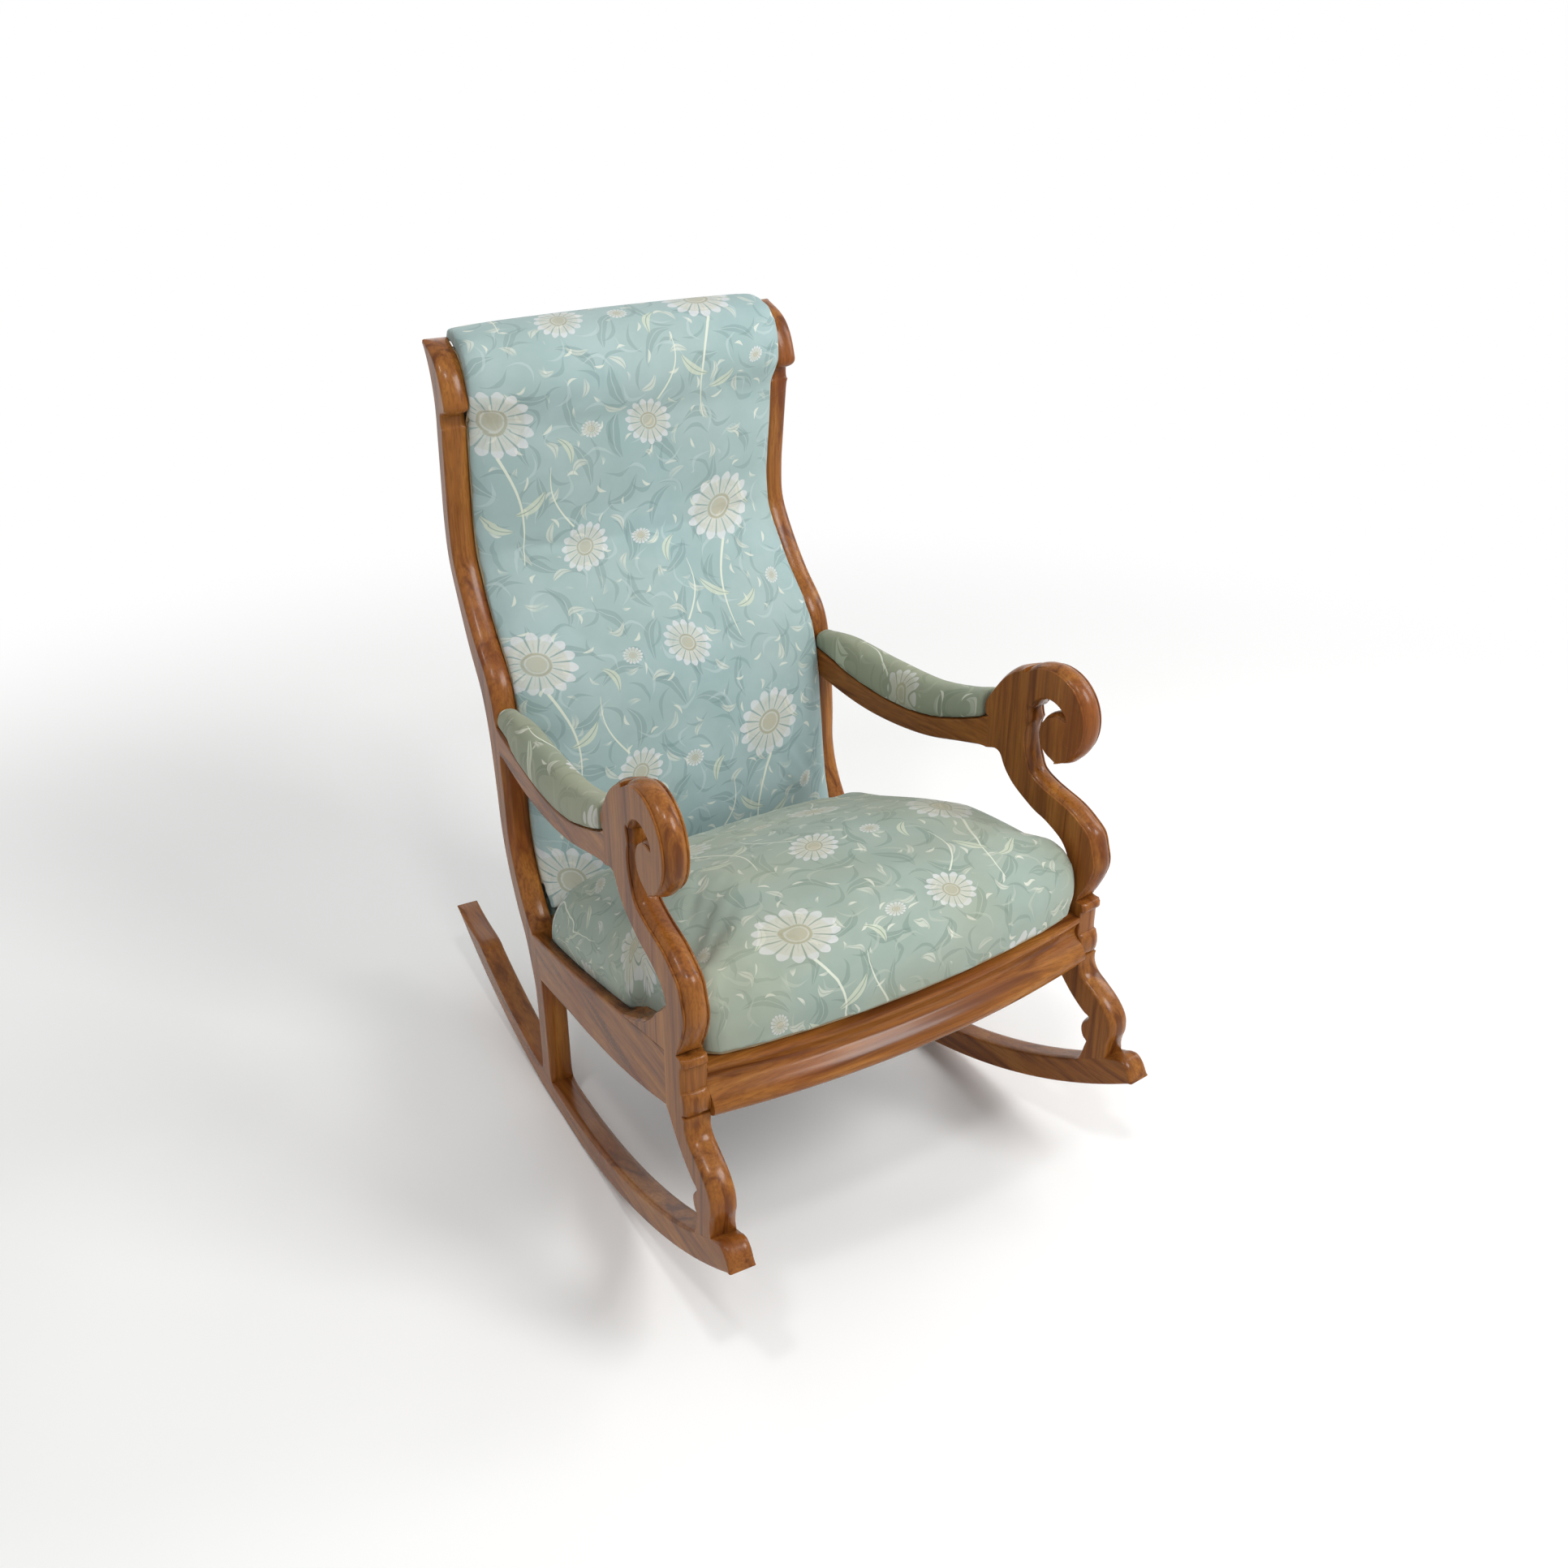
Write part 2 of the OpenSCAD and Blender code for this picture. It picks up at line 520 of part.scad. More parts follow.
// arm pad: crown along the arm, and its half section as shares of its half width and height
pad_front = shoulder_back + soft_gap;
pad_rear = front_at(arm_top_z(front_at(arm_top_z(arm_back + arm_run)))) - 4 * soft_gap;
pad_crown_shares = [[0, 0.66], [0.14, 0.77], [0.3, 0.9], [0.46, 1], [0.6, 1], [0.74, 0.93], [0.88, 0.77],
    [1, 0.46]];
pad_crown_rows = smooth(pad_crown_shares);
pad_bulge_rows = [[0, 1], [0.8, 1], [0.9, -0.1], [1, -0.1]];
pad_section_shares = [[0.72, 0], [0.95, 0.14], [1, 0.36], [0.95, 0.6], [0.8, 0.82], [0.48, 0.96], [0, 1]];
pad_section = concat(
    pad_section_shares,
    [for (i = [len(pad_section_shares) - 2 : -1 : 0]) [-pad_section_shares[i][0], pad_section_shares[i][1]]]);
pad_rings = 18;
pad_end_share = 0.3;

// dowels and screws: where each stands in a side frame's plane
foot_dowel_backs = [-knee_out * 0.62, leg_middle];
support_dowel_backs = [block_d * 0.6, block_d * 1.38];
rail_dowel_shares = [0.2, 0.58];
rail_span = rail_front_top - rail_front_low;
rear_dowel_z = rear_rail_low + rear_rail_h * 0.56;
cross_dowels = concat(
    [for (share = [0.3, 0.7]) [front_rail_t / 2, front_rail_top - front_rail_h * share]],
    [for (share = [0.24, 0.86])
        let (z = rear_rail_low + rear_rail_h * share)
        [lookup_row(swapped(rail_rear_line), z) - rear_rail_t / 2, z]],
    [let (z = low_back_rail_foot + low_back_rail_h / 2)
        [(front_at(z) + rear_at(z)) / 2, z]],
    [[head_from[0] + crest_dowel_shares[0] * head_d, head_from[1] + crest_dowel_shares[1] * head_h]]);
arm_screw_z = arm_low_z(arm_back + arm_run) + arm_wood_h * 0.45;
arm_dowel_z = (arm_joint_low + arm_joint_top) / 2;
screw_sink = 4;

// corner blocks: the height of each pair, the width of a block's blunt toe and its screw's height
front_block_z = front_rail_low + 4 * cloth_t;
rear_block_z = seat_floor(inner_y(rear_rail_front)) - corner_h - soft_gap;
block_toe = corner_leg * 0.16;
block_screw_share = 0.4;

// a side frame's pieces are drawn in its own plane and stand at one side of the chair
module centred() {
    translate([0, -depth_middle, 0])
        children();
}

module at_side(side) {
    centred()
        mirror([side < 0 ? 1 : 0, 0, 0])
            translate([front_w / 2, 0, 0])
                rotate([0, 0, splay])
                    children();
}

module board() {
    translate([-board_t, 0, 0])
        rotate([90, 0, 90])
            linear_extrude(board_t)
                children();
}

// a profile in the side view that runs from one side frame to the other
module between_frames(height, gap) {
    linear_extrude(height)
        polygon([
            [half_inside(-front_reach) - gap, -front_reach],
            [half_inside(rear_reach) - gap, rear_reach],
            [-half_inside(rear_reach) + gap, rear_reach],
            [-half_inside(-front_reach) + gap, -front_reach]]);
}

module across(profile, gap = 0) {
    centred()
        intersection() {
            translate([-front_w / 2, 0, 0])
                rotate([90, 0, 90])
                    linear_extrude(front_w)
                        polygon([for (p = profile) [inner_y(p[0]), p[1]]]);
            between_frames(back_h, gap);
        }
}

// a closed solid through rings of points, with a point at each end; between the first rings, as many as
// turned says, its faces are split the other way, to lie on a neighbour that was built in reverse
module skin(rings, first, last, turned = 0) {
    n = len(rings[0]);
    m = len(rings);
    polyhedron(
        concat([first], [for (r = rings) for (p = r) p], [last]),
        concat(
            [for (j = [0 : n - 1]) [0, 1 + (j + 1) % n, 1 + j]],
            [for (i = [0 : m - 2]) for (j = [0 : n - 1]) for (half = [0, 1])
                let (a = 1 + i * n + j, b = 1 + i * n + (j + 1) % n)
                i < turned
                    ? (half == 0 ? [a, b, b + n] : [a, b + n, a + n])
                    : (half == 0 ? [a, b, a + n] : [b, b + n, a + n])],
            [for (j = [0 : n - 1]) [m * n + 1, 1 + (m - 1) * n + j, 1 + (m - 1) * n + (j + 1) % n]]));
}

// fixings, with grow above zero for the holes that they sit in
module dowel(grow) {
    translate([0, 0, -dowel_len / 2 - grow])
        cylinder(h = dowel_len + 2 * grow, d = dowel_dia + 2 * grow);
}

module screw(length, grow) {
    head_depth = grow > 0 ? 4 * screw_sink : screw_sink;
    translate([0, 0, -grow])
        cylinder(h = length + 2 * grow, d = screw_dia + 2 * grow);
    translate([0, 0, length - grow])
        cylinder(h = head_depth + grow, d = screw_head + 2 * grow);
}

module foot_dowels(grow) {
    for (side = [-1, 1])
        for (back = foot_dowel_backs)
            at_side(side)
                translate([-board_t / 2, back, arc_z(back, rocker_top_r)])
                    dowel(grow);
}

module support_dowels(grow) {
    for (side = [-1, 1])
        for (back = support_dowel_backs)
            at_side(side)
                translate([-board_t / 2, back, back < block_d ? block_top : rail_top_z(back)])
                    dowel(grow);
}

module level_dowel(side, back, height, grow) {
    at_side(side)
        translate([-board_t / 2, back, height])
            rotate([90, 0, 0])
                dowel(grow);
}

module side_rail_dowels(grow) {
    for (side = [-1, 1]) {
        for (share = rail_dowel_shares)
            level_dowel(side, block_d, rail_front_low + rail_span * share, grow);
        level_dowel(side, front_at(rear_dowel_z), rear_dowel_z, grow);
    }
}

module arm_dowels(grow) {
    for (side = [-1, 1])
        level_dowel(side, arm_back, arm_dowel_z, grow);
}

module cross_rail_dowels(grow) {
    for (side = [-1, 1])
        for (place = cross_dowels)
            at_side(side)
                translate([-board_t, place[0], place[1]])
                    rotate([0, 90, 0])
                        dowel(grow);
}

module arm_screws(grow) {
    for (side = [-1, 1])
        at_side(side)
            translate([-board_t / 2, rear_at(arm_screw_z) - 2 * screw_sink - arm_screw_len, arm_screw_z])
                rotate([-90, 0, 0])
                    screw(arm_screw_len, grow);
}

module corner_screws(grow) {
    for (side = [-1, 1])
        for (place = [
                [front_rail_t + corner_leg / 2, front_block_z],
                [rear_rail_front - corner_leg / 2, rear_block_z]])
            at_side(side)
                translate([-board_t * 0.45, place[0], place[1] + corner_h * block_screw_share])
                    rotate([0, -90, 0])
                        screw(block_screw_len, grow);
}

// wood of the side frames
module rocker(side) {
    color(wood_color)
        difference() {
            at_side(side) board() polygon(rocker_outline);
            foot_dowels(play);
        }
}

module front_leg(side) {
    color(wood_color)
        difference() {
            at_side(side)
                board()
                    difference() {
                        polygon(leg_outline);
                        polygon(rocker_outline);
                    }
            foot_dowels(play);
            support_dowels(play);
            side_rail_dowels(play);
            cross_rail_dowels(play);
        }
}

module stile(side) {
    color(wood_color)
        difference() {
            at_side(side)
                board()
                    difference() {
                        polygon(stile_outline);
                        polygon(rocker_outline);
                    }
            foot_dowels(play);
            side_rail_dowels(play);
            cross_rail_dowels(play);
            arm_screws(play);
        }
}

module side_rail(side) {
    rebated = [for (p = rail_top) if (p[0] > foot_end + overrun / 2) p];
    rebate = concat(moved(rebated, [0, rebate_h]), reversed(moved(rebated, [0, -rebate_h])));
    color(wood_color)
        difference() {
            at_side(side)
                difference() {
                    board()
                        difference() {
                            polygon(concat(rail_top, reversed(rail_low)));
                            polygon(behind_front);
                        }
                    translate([-show_w, 0, 0]) board() polygon(rebate);
                }
            side_rail_dowels(play);
            support_dowels(play);
            corner_screws(play);
        }
}

module arm_support(side) {
    scroll_centre = [scroll_back, scroll_height];
    color(wood_color)
        difference() {
            at_side(side)
                union() {
                    board()
                        difference() {
                            polygon(support_outline);
                            polygon(below_rail_top);
                        }
                    board()
                        translate(scroll_centre)
                            difference() {
                                circle(scroll_r);
                                translate(eye_shares * scroll_r) circle(eye_r);
                                translate([curl_shares[0] * scroll_r, -scroll_r * gap_shares[1]])
                                    square(gap_shares * scroll_r);
                            }
                    board() translate(scroll_centre + curl_shares * scroll_r) circle(curl_r);
                }
            support_dowels(play);
            arm_dowels(play);
        }
}

module arm(side) {
    color(wood_color)
        difference() {
            at_side(side)
                board()
                    difference() {
                        polygon(concat(arm_under, reversed(arm_over)));
                        polygon(behind_front);
                    }
            arm_dowels(play);
            arm_screws(play);
        }
}

// cross rails
bead_r_share = 0.08;
band_r_share = 0.2;
band_height_share = 0.8;
cove_shares = [[0.02, -0.56], [-0.12, -0.47], [-0.2, -0.36], [-0.14, -0.24], [-0.02, -0.15]];
module bow_body() {
    turn = 2 * asin(bow_half * 1.15 / bow_r);
    bead_r = front_rail_h * bead_r_share;
    band_r = front_rail_h * band_r_share;
    section = concat(
        [[-front_rail_t, 0], [-front_rail_t, -front_rail_h], [-band_r, -front_rail_h]],
        [for (a = [-75 : 15 : 75])
            [band_out - band_r + band_r * cos(a), -front_rail_h * band_height_share + band_r * sin(a)]],
        scaled(cove_shares, [front_rail_t, front_rail_h]),
        [for (a = [-30 : 20 : 90]) [bead_r * (cos(a) - 0.8), bead_r * (sin(a) - 1)]]);
    translate([0, bow_r - front_bow, front_rail_top])
        rotate([0, 0, -90 - turn / 2])
            rotate_extrude(angle = turn, $fn = 360)
                translate([bow_r, 0])
                    polygon(section);
}

module front_rail() {
    color(wood_color)
        difference() {
            centred()
                intersection() {
                    bow_body();
                    between_frames(back_h, 0);
                }
            cross_rail_dowels(play);
        }
}

module rear_rail_body() {
    front = moved(rail_rear_line, [-rear_rail_t, 0]);
    across(rail_profile(rear_rail_low, rear_rail_low + rear_rail_h, front));
}

module rear_rail() {
    color(inner_wood_color)
        difference() {
            rear_rail_body();
            cross_rail_dowels(play);
        }
}

module low_back_rail() {
    color(inner_wood_color)
        difference() {
            across(rail_profile(low_back_rail_foot, low_back_rail_foot + low_back_rail_h, rail_front_line));
            cross_rail_dowels(play);
        }
}

module crest_rail() {
    color(inner_wood_color)
        difference() {
            across(rail_profile(crest_span[0], crest_span[1], rail_front_line));
            cross_rail_dowels(play);
        }
}

module corner_shape(toward) {
    mirror([0, toward < 0 ? 1 : 0, 0])
        linear_extrude(corner_h)
            polygon([[0, -block_toe], [0, corner_leg], [-block_toe, corner_leg], [-corner_leg, block_toe],
                [-corner_leg, -block_toe]]);
}

module corner_blocks() {
    color(inner_wood_color)
        difference() {
            for (side = [-1, 1]) {
                at_side(side) translate([-board_t, front_rail_t, front_block_z]) corner_shape(1);
                at_side(side)
                    translate([-board_t, rear_rail_front + block_toe, rear_block_z])
                        corner_shape(-1);
            }
            centred() bow_body();
            rear_rail_body();
            corner_screws(play);
        }
}

// sprung seat: a spring's coils lie flat on the webbing at its foot and flat under the canvas at its head
rings_a_coil = 8;
wire_sides = 6;
waist_share = 0.3;
wire_clear = (soft_gap + spring_wire / 2) / cos(seat_slope);
function web_top_z(y) = lookup_row(under_line, y / cos(splay));
function canvas_z(y) = seat_floor(y) + spring_rise + soft_gap;
function coil_point(place, a, r, t) =
    let (y = place[1] + r * sin(a), low = web_top_z(y) + wire_clear, high = canvas_z(y) - wire_clear)
    [place[0] + r * cos(a), y, low + (high - low) * t * t * (3 - 2 * t)];
function coil_centre(place, k) =
    let (t = k / (spring_coils * rings_a_coil),
        r = spring_r * (1 - waist_share * sin(180 * t)) - spring_wire / 2)
    coil_point(place, 360 * k / rings_a_coil, r, t);
module spring(place) {
    steps = spring_coils * rings_a_coil;
    rings = [for (k = [0 : steps])
        let (a = 360 * k / rings_a_coil)
        [for (j = [0 : wire_sides - 1])
            let (b = 360 * j / wire_sides + 90)
            coil_centre(place, k) + spring_wire / 2 * [cos(b) * cos(a), cos(b) * sin(a), sin(b)]]];
    skin(rings, coil_centre(place, 0), coil_centre(place, steps));
}

spring_x_shares = [-0.58, 0, 0.58];
spring_y_shares = [0.27, 0.5, 0.73];
module seat_springs() {
    color(steel_color)
        centred()
            for (sx = spring_x_shares)
                for (sy = spring_y_shares)
                    spring([sx * half_inside(sy * seat_depth), sy * seat_depth]);
}

module long_webbing() {
    color(web_color)
        for (share = [-0.62, -0.21, 0.21, 0.62])
            intersection() {
                across(under_layer(0, cloth_t));
                translate([share * half_inside(seat_depth / 2) - web_w / 2, -front_w, 0])
                    cube([web_w, 2 * front_w, block_top]);
            }
}

function under_layer(from, to) =
    concat(moved(under_line, [0, -from]), reversed(moved(under_line, [0, -to])));

module cross_webbing() {
    color(web_color)
        for (share = [0.2, 0.35, 0.5, 0.65, 0.8])
            intersection() {
                across(under_layer(cloth_t, 2 * cloth_t), -board_t / 2);
                translate([-front_w, share * seat_depth - web_w / 2 - depth_middle, 0])
                    cube([2 * front_w, web_w, block_top]);
            }
}

module dust_cover() {
    color(dust_color)
        across(under_layer(2 * cloth_t, 2 * cloth_t + dust_t), soft_gap);
}

module spring_canvas() {
    color(canvas_color)
        centred()
            skin(
                concat(reversed(sprung_rings(soft_gap)), sprung_rings(soft_gap + cloth_t)),
                sprung_middle(soft_gap),
                sprung_middle(soft_gap + cloth_t));
}

module seat_cushion() {
    top = [for (k = [0 : len(padding_insets) - 1])
        seat_ring(padding_insets[k], padding_lift * (1 - padding_shares[k]), padding_shares[k],
            seat_rear_lean * padding_shares[k])];
    middle_y = (seat_rear - seat_rear_lean) / 2;
    color(cloth_color)
        centred()
            skin(
                concat(reversed(sprung_rings(padding_lift)), top),
                sprung_middle(padding_lift),
                [0, middle_y, seat_floor(middle_y) + crown_at(0, middle_y)],
                sprung_steps);
}

// back upholstery
canvas_from = low_back_rail_foot - overrun;
canvas_top_share = 0.88;
canvas_to = head_from[1] + head_h * canvas_top_share;
function back_layer(from, to) = concat(
    [for (p = beside(padding_line, from)) if (p[1] > canvas_from && p[1] < canvas_to) p],
    reversed([for (p = beside(padding_line, to)) if (p[1] > canvas_from && p[1] < canvas_to) p]));

module back_canvas() {
    color(canvas_color)
        across(back_layer(canvas_front, webbing_front), soft_gap);
}

module back_webbing() {
    color(web_color)
        for (share = [0.37, 0.46, 0.55, 0.64, 0.73, 0.82])
            intersection() {
                across(back_layer(webbing_front, webbing_front + cloth_t));
                translate([-front_w, -front_w, back_z(share)])
                    cube([2 * front_w, 2 * front_w, web_w]);
            }
}

module back_cushion() {
    rings = [for (row = back_rows) back_ring(row)];
    color(cloth_color)
        centred()
            skin(rings, back_point(back_rows[0], 0, 0.5), back_point(back_rows[len(back_rows) - 1], 0, 0.5));
}

module outside_back() {
    color(cloth_color)
        across(
            concat(
                [for (p = cover_rear) if (p[1] > rear_rail_low) p],
                reversed([for (p = cover_front) if (p[1] > rear_rail_low) p])),
            soft_gap);
}

module arm_pad(side) {
    rings = [for (i = [0 : pad_rings])
        let (t = i / pad_rings, back = pad_front + (pad_rear - pad_front) * t,
            crown = pad_crown * lookup_row(pad_crown_rows, t),
            half = board_t / 2 + pad_bulge * lookup_row(pad_bulge_rows, t),
            base = arm_top_z(back) + soft_gap)
        [for (s = pad_section)
            [-board_t / 2 + s[0] * half, back, base + s[1] * crown]]];
    color(cloth_color)
        at_side(side)
            skin(rings,
                [-board_t / 2, pad_front, arm_top_z(pad_front) + pad_crown * pad_end_share],
                [-board_t / 2, pad_rear, arm_top_z(pad_rear) + pad_crown * pad_end_share]);
}

// the list of pieces, and one line for each of them

rocker(-1);  // rocker_left
rocker(1);  // rocker_right
front_leg(-1);  // front_leg_left
front_leg(1);  // front_leg_right
stile(-1);  // stile_left
stile(1);  // stile_right
side_rail(-1);  // side_rail_left
side_rail(1);  // side_rail_right
arm_support(-1);  // arm_support_left
arm_support(1);  // arm_support_right
arm(-1);  // arm_left
arm(1);  // arm_right
front_rail();
rear_rail();
low_back_rail();
crest_rail();
corner_blocks();
color(inner_wood_color) foot_dowels(0);
color(inner_wood_color) support_dowels(0);
color(inner_wood_color) side_rail_dowels(0);
color(inner_wood_color) arm_dowels(0);
color(inner_wood_color) cross_rail_dowels(0);
color(steel_color) arm_screws(0);
color(steel_color) corner_screws(0);
long_webbing();
cross_webbing();
seat_springs();
spring_canvas();
seat_cushion();
dust_cover();
back_webbing();
back_canvas();
back_cushion();
outside_back();
arm_pad(-1);  // arm_pad_left
arm_pad(1);  // arm_pad_right
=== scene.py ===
import json
import math

import bmesh
import bpy
import numpy as np
from mathutils import Matrix, Vector
from mathutils.bvhtree import BVHTree


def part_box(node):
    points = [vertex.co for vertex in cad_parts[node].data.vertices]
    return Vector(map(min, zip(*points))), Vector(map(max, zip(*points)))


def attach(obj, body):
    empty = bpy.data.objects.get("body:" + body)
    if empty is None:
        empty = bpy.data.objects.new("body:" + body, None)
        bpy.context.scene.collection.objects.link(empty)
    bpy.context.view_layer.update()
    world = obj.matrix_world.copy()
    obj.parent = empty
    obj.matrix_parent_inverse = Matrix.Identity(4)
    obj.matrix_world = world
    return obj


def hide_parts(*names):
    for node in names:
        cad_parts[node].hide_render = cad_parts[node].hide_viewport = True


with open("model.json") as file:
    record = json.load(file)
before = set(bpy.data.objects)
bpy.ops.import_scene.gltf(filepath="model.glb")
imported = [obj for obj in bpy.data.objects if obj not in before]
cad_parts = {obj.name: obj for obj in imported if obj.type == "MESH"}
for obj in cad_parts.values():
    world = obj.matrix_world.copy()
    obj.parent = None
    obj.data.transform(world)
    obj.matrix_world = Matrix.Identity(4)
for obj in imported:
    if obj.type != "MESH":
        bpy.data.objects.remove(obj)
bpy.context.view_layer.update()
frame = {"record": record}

MM = 0.001
CAD = {obj.name: obj for obj in bpy.data.objects if obj.type == "MESH"}

# a CAD mesh's points this near are one, and its faces that turn this little are flat
WELD = 0.02 * MM
FLAT_ANGLE = math.radians(0.5)
# further than any two pieces of the chair lie apart
FAR = 1.0

# side frames, as the frame's pieces lie in the model
FRAME_HALF = 310 * MM
DEPTH_MIDDLE = 370.25 * MM
BOARD = 33 * MM
SPLAY = math.radians(4.25)


def to_side(points, side):
    """Places in a side frame's own plane: across its thickness, backwards and up."""
    x = points[:, 0] * side - FRAME_HALF
    y = points[:, 1] + DEPTH_MIDDLE
    across = x * math.cos(SPLAY) + y * math.sin(SPLAY)
    back = y * math.cos(SPLAY) - x * math.sin(SPLAY)
    return np.stack([across, back, points[:, 2]], axis=1)


def from_side(points, side):
    """The reverse of to_side."""
    x = points[:, 0] * math.cos(SPLAY) - points[:, 1] * math.sin(SPLAY) + FRAME_HALF
    y = points[:, 0] * math.sin(SPLAY) + points[:, 1] * math.cos(SPLAY) - DEPTH_MIDDLE
    return np.stack([x * side, y, points[:, 2]], axis=1)


def mesh_points(mesh):
    points = np.zeros(len(mesh.vertices) * 3)
    mesh.vertices.foreach_get("co", points)
    return points.reshape(-1, 3)


def set_points(mesh, points):
    mesh.vertices.foreach_set("co", np.asarray(points, dtype=np.float64).reshape(-1))
    mesh.update()


def linked(name, data):
    """A new object in the scene."""
    obj = bpy.data.objects.new(name, data)
    bpy.context.collection.objects.link(obj)
    return obj


def shade(mesh, sharp_angle):
    """Smooth shading, with sharp edges past an angle in degrees."""
    mesh.shade_smooth()
    mesh.set_sharp_from_angle(angle=math.radians(sharp_angle))


def weight_normals(obj, weight):
    made = obj.modifiers.new("normals", "WEIGHTED_NORMAL")
    made.keep_sharp = True
    made.weight = weight


def welded(mesh):
    """A CAD mesh as a shape to edit, with its split points joined."""
    shape = bmesh.new()
    shape.from_mesh(mesh)
    bmesh.ops.remove_doubles(shape, verts=shape.verts, dist=WELD)
    return shape


def ring_faces(count, rings):
    """The faces between rings of points, each ring closed and joined to the next."""
    faces = []
    for k in range(rings - 1):
        for i in range(count):
            a, b = k * count + i, k * count + (i + 1) % count
            faces.append([a, b, b + count, a + count])
    return faces


def new_piece(name, points, faces, sharp_angle):
    """A mesh piece with smooth shading and sharp edges past an angle."""
    mesh = bpy.data.meshes.new(name)
    mesh.from_pydata([tuple(p) for p in points], [], faces)
    mesh.validate()
    clean = bmesh.new()
    clean.from_mesh(mesh)
    bmesh.ops.recalc_face_normals(clean, faces=clean.faces)
    clean.to_mesh(mesh)
    clean.free()
    shade(mesh, sharp_angle)
    return linked(name, mesh)


def apply_modifiers(obj):
    """Makes what an object's modifiers give its own mesh."""
    graph = bpy.context.evaluated_depsgraph_get()
    done = bpy.data.meshes.new_from_object(obj.evaluated_get(graph))
    obj.modifiers.clear()
    old = obj.data
    obj.data = done
    bpy.data.meshes.remove(old)


def finish_piece(obj, material, slot, *nodes):
    """Gives a piece its material, hangs it on the root body and hides the nodes it stands for."""
    obj.data.materials.clear()
    obj.data.materials.append(material)
    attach(obj, "root")
    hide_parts(*nodes)


# camera, which stands where the photograph was taken
CAMERA_PLACE = (-940.2 * MM, -1539.1 * MM, 1426.5 * MM)
CAMERA_PITCH = 27.7185
CAMERA_YAW = -33.0762
CAMERA_ROLL = 0.0762
CAMERA_SHIFT = (0.0012, -0.0022)
PHOTO_SIZE = 1932
FOCAL_PIXELS = 1875.117
SENSOR = 36


def add_camera():
    data = bpy.data.cameras.new("camera")
    data.sensor_width = SENSOR
    data.sensor_fit = "HORIZONTAL"
    data.lens = FOCAL_PIXELS / PHOTO_SIZE * SENSOR
    data.shift_x, data.shift_y = CAMERA_SHIFT
    obj = linked("camera", data)
    turn = Matrix.Rotation(math.radians(CAMERA_YAW), 4, "Z")
    tilt = Matrix.Rotation(math.radians(90 - CAMERA_PITCH), 4, "X")
    roll = Matrix.Rotation(math.radians(CAMERA_ROLL), 4, "Z")
    obj.matrix_world = Matrix.Translation(CAMERA_PLACE) @ turn @ tilt @ roll
    bpy.context.scene.camera = obj


# shader nodes, and the places of a Mix node's colours among its sockets
MIX_FROM, MIX_TO, MIXED = 6, 7, 2


class Shader:
    """Builds one material's nodes."""

    def __init__(self, name):
        self.material = bpy.data.materials.new(name)
        self.material.use_nodes = True
        self.tree = self.material.node_tree
        self.tree.nodes.clear()

    def node(self, kind, inputs=None, **settings):
        made = self.tree.nodes.new(kind)
        for key, value in settings.items():
            setattr(made, key, value)
        for key, value in (inputs or {}).items():
            self.set(made.inputs[key], value)
        return made

    def set(self, socket, value):
        if isinstance(value, bpy.types.NodeSocket):
            self.tree.links.new(value, socket)
        else:
            socket.default_value = value

    def math(self, operation, *values):
        made = self.node("ShaderNodeMath", operation=operation)
        for i, value in enumerate(values):
            self.set(made.inputs[i], value)
        return made.outputs[0]

    def add(self, a, b):
        return self.math("ADD", a, b)

    def sub(self, a, b):
        return self.math("SUBTRACT", a, b)

    def mul(self, a, b):
        return self.math("MULTIPLY", a, b)

    def top(self, *values):
        best = values[0]
        for value in values[1:]:
            best = self.math("MAXIMUM", best, value)
        return best

    def ramp(self, value, low, high):
        """0 below low, 1 above high and smooth between, where low may be the larger one."""
        made = self.node("ShaderNodeMapRange", interpolation_type="SMOOTHSTEP")
        for i, part in enumerate((value, low, high, 0, 1)):
            self.set(made.inputs[i], part)
        return made.outputs[0]

    def mix(self, factor, a, b):
        made = self.node("ShaderNodeMix", data_type="RGBA")
        self.set(made.inputs["Factor"], factor)
        self.set(made.inputs[MIX_FROM], a)
        self.set(made.inputs[MIX_TO], b)
        return made.outputs[MIXED]

    def lay(self, color, layer, mask, share):
        """A colour with another laid over it at a share of its strength, where the mask is 1."""
        return self.mix(self.mul(mask, share), color, layer)

    def noise(self, vector, scale, detail=3, roughness=0.5, distortion=0):
        made = self.node(
            "ShaderNodeTexNoise",
            {"Vector": vector, "Scale": scale, "Detail": detail, "Roughness": roughness,
             "Distortion": distortion})
        return made.outputs["Fac"]

    def stretched(self, vector, scale):
        return self.node("ShaderNodeMapping", {"Vector": vector, "Scale": scale}).outputs[0]

    def place(self):
        return self.node("ShaderNodeTexCoord").outputs["Object"]

    def finish(self, color, roughness, bump=None, strength=0.3, distance=0.2 * MM, **sockets):
        surface = self.node(
            "ShaderNodeBsdfPrincipled", {"Base Color": color, "Roughness": roughness})
        for key, value in sockets.items():
            surface.inputs[key.replace("_", " ")].default_value = value
        if bump is not None:
            made = self.node(
                "ShaderNodeBump", {"Height": bump, "Strength": strength, "Distance": distance})
            self.set(surface.inputs["Normal"], made.outputs[0])
        output = self.node("ShaderNodeOutputMaterial")
        self.tree.links.new(surface.outputs[0], output.inputs[0])
        return self.material


def rgb(red, green, blue):
    """A colour from 0 to 255, as it looks on a screen, in the shader's linear values."""
    linear = [
        (c / 255 / 12.92 if c < 11 else ((c / 255 + 0.055) / 1.055) ** 2.4)
        for c in (red, green, blue)]
    return (*linear, 1.0)


def dimmed(color, share):
    return [c * share for c in color[:3]] + [1]


# how often the wood's figure repeats along each axis, for grain that runs along one of them
GRAIN = {"X": (3, 70, 70), "Y": (70, 3, 70), "Z": (70, 70, 3)}


